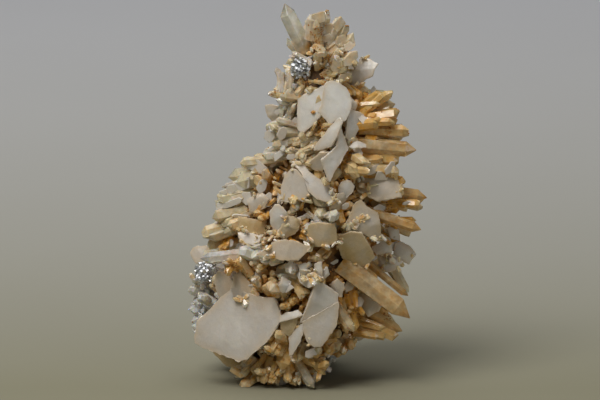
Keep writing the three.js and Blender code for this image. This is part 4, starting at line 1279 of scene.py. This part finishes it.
def swell(turn, z):          # how far the druse bulges out there
    around = coverShape["around"]
    column = (math.floor(turn * around / math.tau + 0.25) + around) % around
    row = round(z * coverShape["rows"] / sections[-1, 0])
    broad = 0.05 * math.sin(3 * turn + z * 0.11) + 0.04 * math.sin(5 * turn - z * 0.17 + 1)
    return 0.97 + broad + 0.24 * (scatter(column * 7.3 + row * 3.1) - 0.5)


def growCover():
    shape = coverShape
    growth = Growth()
    for index in range(shape["count"]):
        turn = index * shape["goldenAngle"]
        z = shape["start"] + shape["height"] * ((index + 0.5) / shape["count"]) ** 1.12
        x, y, halfX, halfY = sectionAt(z)
        out = Vector((math.cos(turn), math.sin(turn), 0))
        bulge = swell(turn, z) * 0.8
        root = Vector((x + out.x * halfX * bulge, y + out.y * halfY * bulge, z))
        aside = Vector((scatter(index + 11) - 0.5, scatter(index + 12) - 0.5, 1.1 * scatter(index + 13) - 0.35))
        along = (out + aside).normalized()
        stout = (1.1 + 0.8 * max(0.0, out.y)) * (0.55 + halfX / 60)
        length = (shape["length"][0] + shape["length"][1] * scatter(index + 14)) * stout
        wide = (shape["width"][0] + shape["width"][1] * scatter(index + 15)) * stout
        tip = root + along * length
        tip.z = max(tip.z, wide)
        tip = roomFor(root, tip)
        if not tip or not inOutline(tip, 2) or (out.y < 0 and hidesPlate(tip)):
            continue
        tone, stain = toneAt(root), stainAt(root) * shape["stainShare"]
        growth.crystal(root, tip, wide, tone, stain)
        growth.sprout(root, tip, wide, tone, stain, out * 0.5, freeRoom)
        for _ in range(shape["beside"]):
            start = root + Vector(dice.uniform(-1, 1, 3)) * wide * shape["scatter"]
            lean = (along + Vector(dice.uniform(-shape["lean"], shape["lean"], 3))).normalized()
            end = freeRoom(start, start + lean * length * dice.uniform(*shape["shorter"]))
            if end:
                thin = wide * dice.uniform(*shape["thinner"])
                change = dice.uniform(-shape["toneChange"], shape["toneChange"])
                growth.crystal(start, end, thin, tone + change, stain)
    return growth.build("quartz_cover_crystals", quartz, "quartz_druse_on_rock")


# The smaller crystals, spread by chance all over the rock. Widths and heights in mm
overShape = {
    "start": 2, "height": 137, "lower": 1.15, "rootDepth": 0.8, "clumpSize": 6, "stray": 0.85, "least": 2.2,
    "inside": -4, "sparse": 116,
}
stubby = {"count": 1300, "widths": (2.4, 5.6), "slender": (1.0, 2.0), "stainMore": 0.0, "clumping": 2.4}
small = {"count": 2400, "widths": (1.2, 2.6), "slender": (1.4, 2.8), "stainMore": 0.2, "clumping": 2.0}


def growOver(name, kind, material):
    shape = overShape
    thinnest, thickest = kind["widths"]
    growth = Growth()
    for index in range(kind["count"]):
        z = shape["start"] + shape["height"] * dice.uniform(0, 1) ** shape["lower"]
        turn = dice.uniform(0, math.tau)
        root = rockAt(turn, z, shape["rootDepth"])
        below, above = sectionAt(z - 2), sectionAt(z + 2)
        upright = (below[2] + below[3] - above[2] - above[3]) / 8          # the rock's slope there
        out = Vector((math.cos(turn), math.sin(turn), upright)).normalized()
        place = root / shape["clumpSize"]          # neighbours lean alike
        clump = Vector([noise.noise(place + Vector((shift, 2 * shift, 0))) for shift in (0, 31, 57)])
        stray = Vector(dice.uniform(-shape["stray"], shape["stray"], 3))
        along = (out * 0.75 + clump * kind["clumping"] + stray).normalized()
        wide = thinnest + (thickest - thinnest) * dice.uniform(0, 1) ** 1.5
        length = shape["least"] + wide * dice.uniform(*kind["slender"])
        tip = roomFor(root, root + along * length)
        if not tip or not inOutline(tip, shape["inside"]) or (z > shape["sparse"] and index % 3):
            continue
        if out.y < 0.2 and (hidesPlate(tip) or (index % 5 and inHollow(tip))):
            continue
        stain = min(1.0, stainAt(root) + kind["stainMore"])
        growth.crystal(root, tip, wide, toneAt(root) + dice.uniform(-0.1, 0.1), stain)
    return growth.build(name, material, "quartz_druse_on_rock")


grown = [growFront()]
onShow.append((treeOf(grown), sight["front"]))
grown += [
    growCover(),
    growOver("quartz_stubby_crystals", stubby, quartz),
    growOver("quartz_small_crystals", small, druse),
]
growthTree = treeOf(grown + [rockPiece])
print("quartz grown")


def viewerStart(right, down):          # where a line from the viewer to that step begins
    return Vector(toFrame(seen(right, down, 0))) + toViewer * view["castFrom"]


def landing(start, direction):          # where a line first meets the druse, unless a plate is in the way
    hit = growthTree.ray_cast(start, direction)
    if hit[0] is None:
        return None
    plate = largeTree.ray_cast(start, direction)
    if plate[0] is not None and plate[3] < hit[3]:
        return None
    return Vector(fromFrame(hit[0])), hit[1]


def castFromViewer(right, down):
    return landing(viewerStart(right, down), -toViewer)


def castFromRound():          # from a random side and height towards the middle
    z = 2 + 135 * dice.uniform(0, 1) ** 1.1
    turn = dice.uniform(0, math.tau)
    x, y = sectionAt(z)[:2]
    out = Vector((math.cos(turn), math.sin(turn), dice.uniform(-0.1, 0.4)))
    return landing(Vector(toFrame(Vector((x, y, z)) + out * 80)), -out.normalized())


def seatOf(right, down):          # where the druse is seen there, or nearest towards the middle
    inward = 1 if right < view["middle"][0] else -1
    for step in range(0, 14, 2):
        place = castFromViewer(right + inward * step, down)
        if place:
            return place
    return None


# The plates that have small crystals on their rims
rimmed = [
    "calcite_" + ending for ending in (
        "fan_centre", "round_plate_centre", "prism_centre", "white_cluster", "plate_left_low", "hexagon_left",
        "plate_right_inner", "plate_summit_right", "plate_left_middle", "plate_right_middle", "plate_right_upper",
        "plates_right_edge",
    )
]
rimShape = {"spacing": 5, "chance": (0.12, 0.45), "inset": (0.02, 0.1), "most": 3, "width": 2.1, "perchWidth": 2.4}
perchShape = {"sink": 0.6, "narrowest": 0.7, "stray": 0.8, "length": 1.0}

# Small crystals that sit on plates: place and spread in the view's steps, and how many
perches = [
    (243, 299, 4, 10), (324, 218, 7, 22), (359, 220, 5, 9), (272, 256, 6, 9), (296, 200, 8, 12),
    (333, 200, 5, 9), (262, 243, 9, 16), (308, 268, 8, 12), (277, 232, 4, 8), (368, 186, 7, 7),
    (392, 262, 6, 8), (306, 340, 6, 5),
]


def perch(growth, right, down, count, widest):          # some small crystals on the plate that is seen there
    shape = perchShape
    hit = plateTree.ray_cast(viewerStart(right, down), -toViewer)
    if hit[0] is None:
        return
    root = Vector(fromFrame(hit[0])) - toViewer * shape["sink"]
    for _ in range(count):
        lean = (toViewer * 0.5 + Vector(dice.normal(0, shape["stray"], 3))).normalized()
        wide = dice.uniform(shape["narrowest"], widest)
        tip = root + lean * (shape["length"] + wide * dice.uniform(0.8, 1.8))
        if inOutline(tip):
            growth.crystal(root, tip, wide, dice.uniform(0.05, 0.6), dice.uniform(0, 0.7))


def growRims():          # small crystals that sit on the plates' lower rims, and on some plates
    shape = rimShape
    always, lower = shape["chance"]
    growth = Growth()
    for right, down, spread, count in perches:
        for _ in range(count):
            across, along = dice.normal(0, spread * 0.5), dice.normal(0, spread * 0.4)
            perch(growth, right + across, down + along, 1, shape["perchWidth"])
    for name in rimmed:
        for row in plateRows[name]:
            ring = np.array(row[0], float)
            middle = ring.mean(0)
            for start, end in zip(ring, np.roll(ring, -1, 0)):
                for _ in range(int(np.linalg.norm(end - start) / shape["spacing"])):
                    spot = start + (end - start) * dice.uniform(0, 1)
                    if dice.uniform(0, 1) > always + lower * (spot[1] > middle[1]):
                        continue
                    spot = spot + (middle - spot) * dice.uniform(*shape["inset"])
                    perch(growth, *spot, dice.randint(1, shape["most"] + 1), shape["width"])
    return growth.build("quartz_on_plate_rims", druse)


tabletShape = {
    "raise": 0.4, "thin": 0.4, "thicker": 0.15, "summit": 90, "bladeThick": 1.6, "left": 275, "leftTone": 0.35,
    "others": 150, "halves": (1.0, 3.4), "otherThin": 0.35, "stain": 0.15,
}


def growTablets():          # of calcite, and at the summit blades of quartz
    shape = tabletShape
    growth = Growth()
    blades = Growth()
    facing = toViewer.to_track_quat("Z", "Y").to_matrix()
    for right, down, halfWide, halfHigh, spin, yaw, pitch, tone in smallTablets:
        place = seatOf(right, down)
        if not place:
            continue
        middle = place[0] + toViewer * shape["raise"]
        tilt = Matrix.Rotation(math.radians(yaw), 3, "Y") @ Matrix.Rotation(math.radians(pitch), 3, "X")
        turn = facing @ tilt @ Matrix.Rotation(math.radians(spin), 3, "Z")
        size = (halfWide * 1.1, halfHigh * 1.2, shape["thin"] + shape["thicker"] * halfHigh)
        if down < shape["summit"]:
            size = size * np.array((1, 1, shape["bladeThick"]))
            blades.shape(plateSeeds[dice.randint(4)], middle, size, turn, 0.2, 0.3)
        else:
            tone = tone * shape["leftTone"] if right < shape["left"] else tone
            growth.shape(plateSeeds[dice.randint(4)], middle, size, turn, tone, shape["stain"])
    for _ in range(shape["others"]):          # others on all sides
        place = castFromRound()
        if not place or (place[1].y < 0 and dice.uniform() < 0.6):
            continue
        lean = (place[1] + Vector(dice.uniform(-0.9, 0.9, 3))).normalized()
        half = dice.uniform(*shape["halves"])
        turn = lean.to_track_quat("Z", "Y").to_matrix() @ Matrix.Rotation(dice.uniform(0, 6), 3, "Z")
        size = (half, half * dice.uniform(0.4, 0.9), shape["otherThin"] + shape["thicker"] * half)
        growth.shape(plateSeeds[dice.randint(4)], place[0], size, turn, dice.uniform(0, 0.6), shape["stain"])
    blades.build("quartz_summit_blades", quartz)
    growth.build("calcite_small_tablets", calcite)


grainShape = {"others": 900, "halves": (0.18, 0.5), "ball": (313, 113), "ballSize": (1.1, 1.3, 1.1), "least": 0.25}


def growStain():
    shape = grainShape
    growth = Growth()
    places = []
    for right, down, spread, count in stainSpots:
        for _ in range(count):
            places.append(castFromViewer(right + dice.normal(0, spread * 0.5), down + dice.normal(0, spread * 0.5)))
    places += [castFromRound() for _ in range(shape["others"])]
    for place in places:
        if not place or stainAt(place[0]) + dice.uniform(0, 0.5) < shape["least"]:
            continue
        half = dice.uniform(*shape["halves"])
        growth.shape(grainSeed, place[0], (half, half, half), anyTurn(6), 0.5, 1)
    ball = plateTree.ray_cast(viewerStart(*shape["ball"]), -toViewer)
    if ball[0] is not None:          # the one round grain on an upper plate
        growth.shape(grainSeed, Vector(fromFrame(ball[0])), shape["ballSize"], Matrix.Identity(3), 0.5, 1)
    return growth.build("iron_stain_grains", rust)


growRims()
growTablets()
growStain()
print("tablets and stain placed")


# A plain floor, soft light from the upper left, and the camera. The floor runs from a dark warm grey in front to a
# paler grey behind: painted light, the far floor painted paler as if lit like a backdrop
studio = {
    "floorSize": 8, "floorBack": 1.6, "floorNear": (0.28, 0.266, 0.182), "floorFar": (0.83, 0.84, 0.875),
    "floorPaler": 0.98, "floorCloud": (0.2, 0.05), "floorRoughness": 0.8,
    "sky": (0.9, 0.93, 0.97), "skyPower": 0.045, "aim": (0, 0, 0.07),
    "lights": [          # name, place, size, power, tint
        ("keyLight", (-0.6, -0.75, 1.5), 0.85, 19.2, (1.0, 0.98, 0.95)),
        ("fillLight", (1.2, -1.0, 0.32), 0.6, 2.2, (0.94, 0.97, 1.0)),
        ("topLight", (0.0, 0.15, 1.45), 1.2, 7.4, (1.0, 1.0, 1.0)),
    ],
}


def makeStudio():
    bpy.ops.object.select_all(action="DESELECT")
    bpy.ops.mesh.primitive_plane_add(size=studio["floorSize"], location=(0, studio["floorBack"], 0))
    floor = bpy.context.object
    floor.name = "floor"
    bpy.ops.object.transform_apply(location=True, rotation=False, scale=False)
    made = Finish("floor_paper")
    cloudSize, clouded = studio["floorCloud"]
    # painted light: the floor is painted paler with distance behind the rock
    distance = (made.height("Y") * studio["floorPaler"] + made.noise(cloudSize, 2) * clouded).clamp()
    colour = made.blend(distance, studio["floorNear"], studio["floorFar"])
    paper = made.add("ShaderNodeBsdfPrincipled", Base_Color=colour, Roughness=studio["floorRoughness"])
    dress(floor, made.finish(paper))
    for name, place, size, power, tint in studio["lights"]:
        lamp = bpy.data.lights.new(name, "AREA")
        lamp.size = size
        lamp.energy = power
        lamp.color = tint
        holder = bpy.data.objects.new(name, lamp)
        bpy.context.collection.objects.link(holder)
        holder.location = place
        holder.rotation_euler = (Vector(studio["aim"]) - Vector(place)).to_track_quat("-Z", "Y").to_euler()
        holder.visible_camera = False
    world = bpy.data.worlds.new("studio")
    world.use_nodes = True
    world.node_tree.nodes["Background"].inputs[0].default_value = (*studio["sky"], 1.0)
    world.node_tree.nodes["Background"].inputs[1].default_value = studio["skyPower"]
    bpy.context.scene.world = world


def makeCamera():
    aim = Vector(toFrame(seen(*view["middle"], 0.0)))
    lens = bpy.data.cameras.new("camera")
    lens.lens = view["lens"]
    camera = bpy.data.objects.new("camera", lens)
    bpy.context.collection.objects.link(camera)
    camera.location = aim + toViewer * view["distance"]
    camera.rotation_euler = (-toViewer).to_track_quat("-Z", "Y").to_euler()
    bpy.context.scene.camera = camera
    bpy.context.scene.view_settings.view_transform = "Standard"


makeStudio()
makeCamera()
print("studio ready")
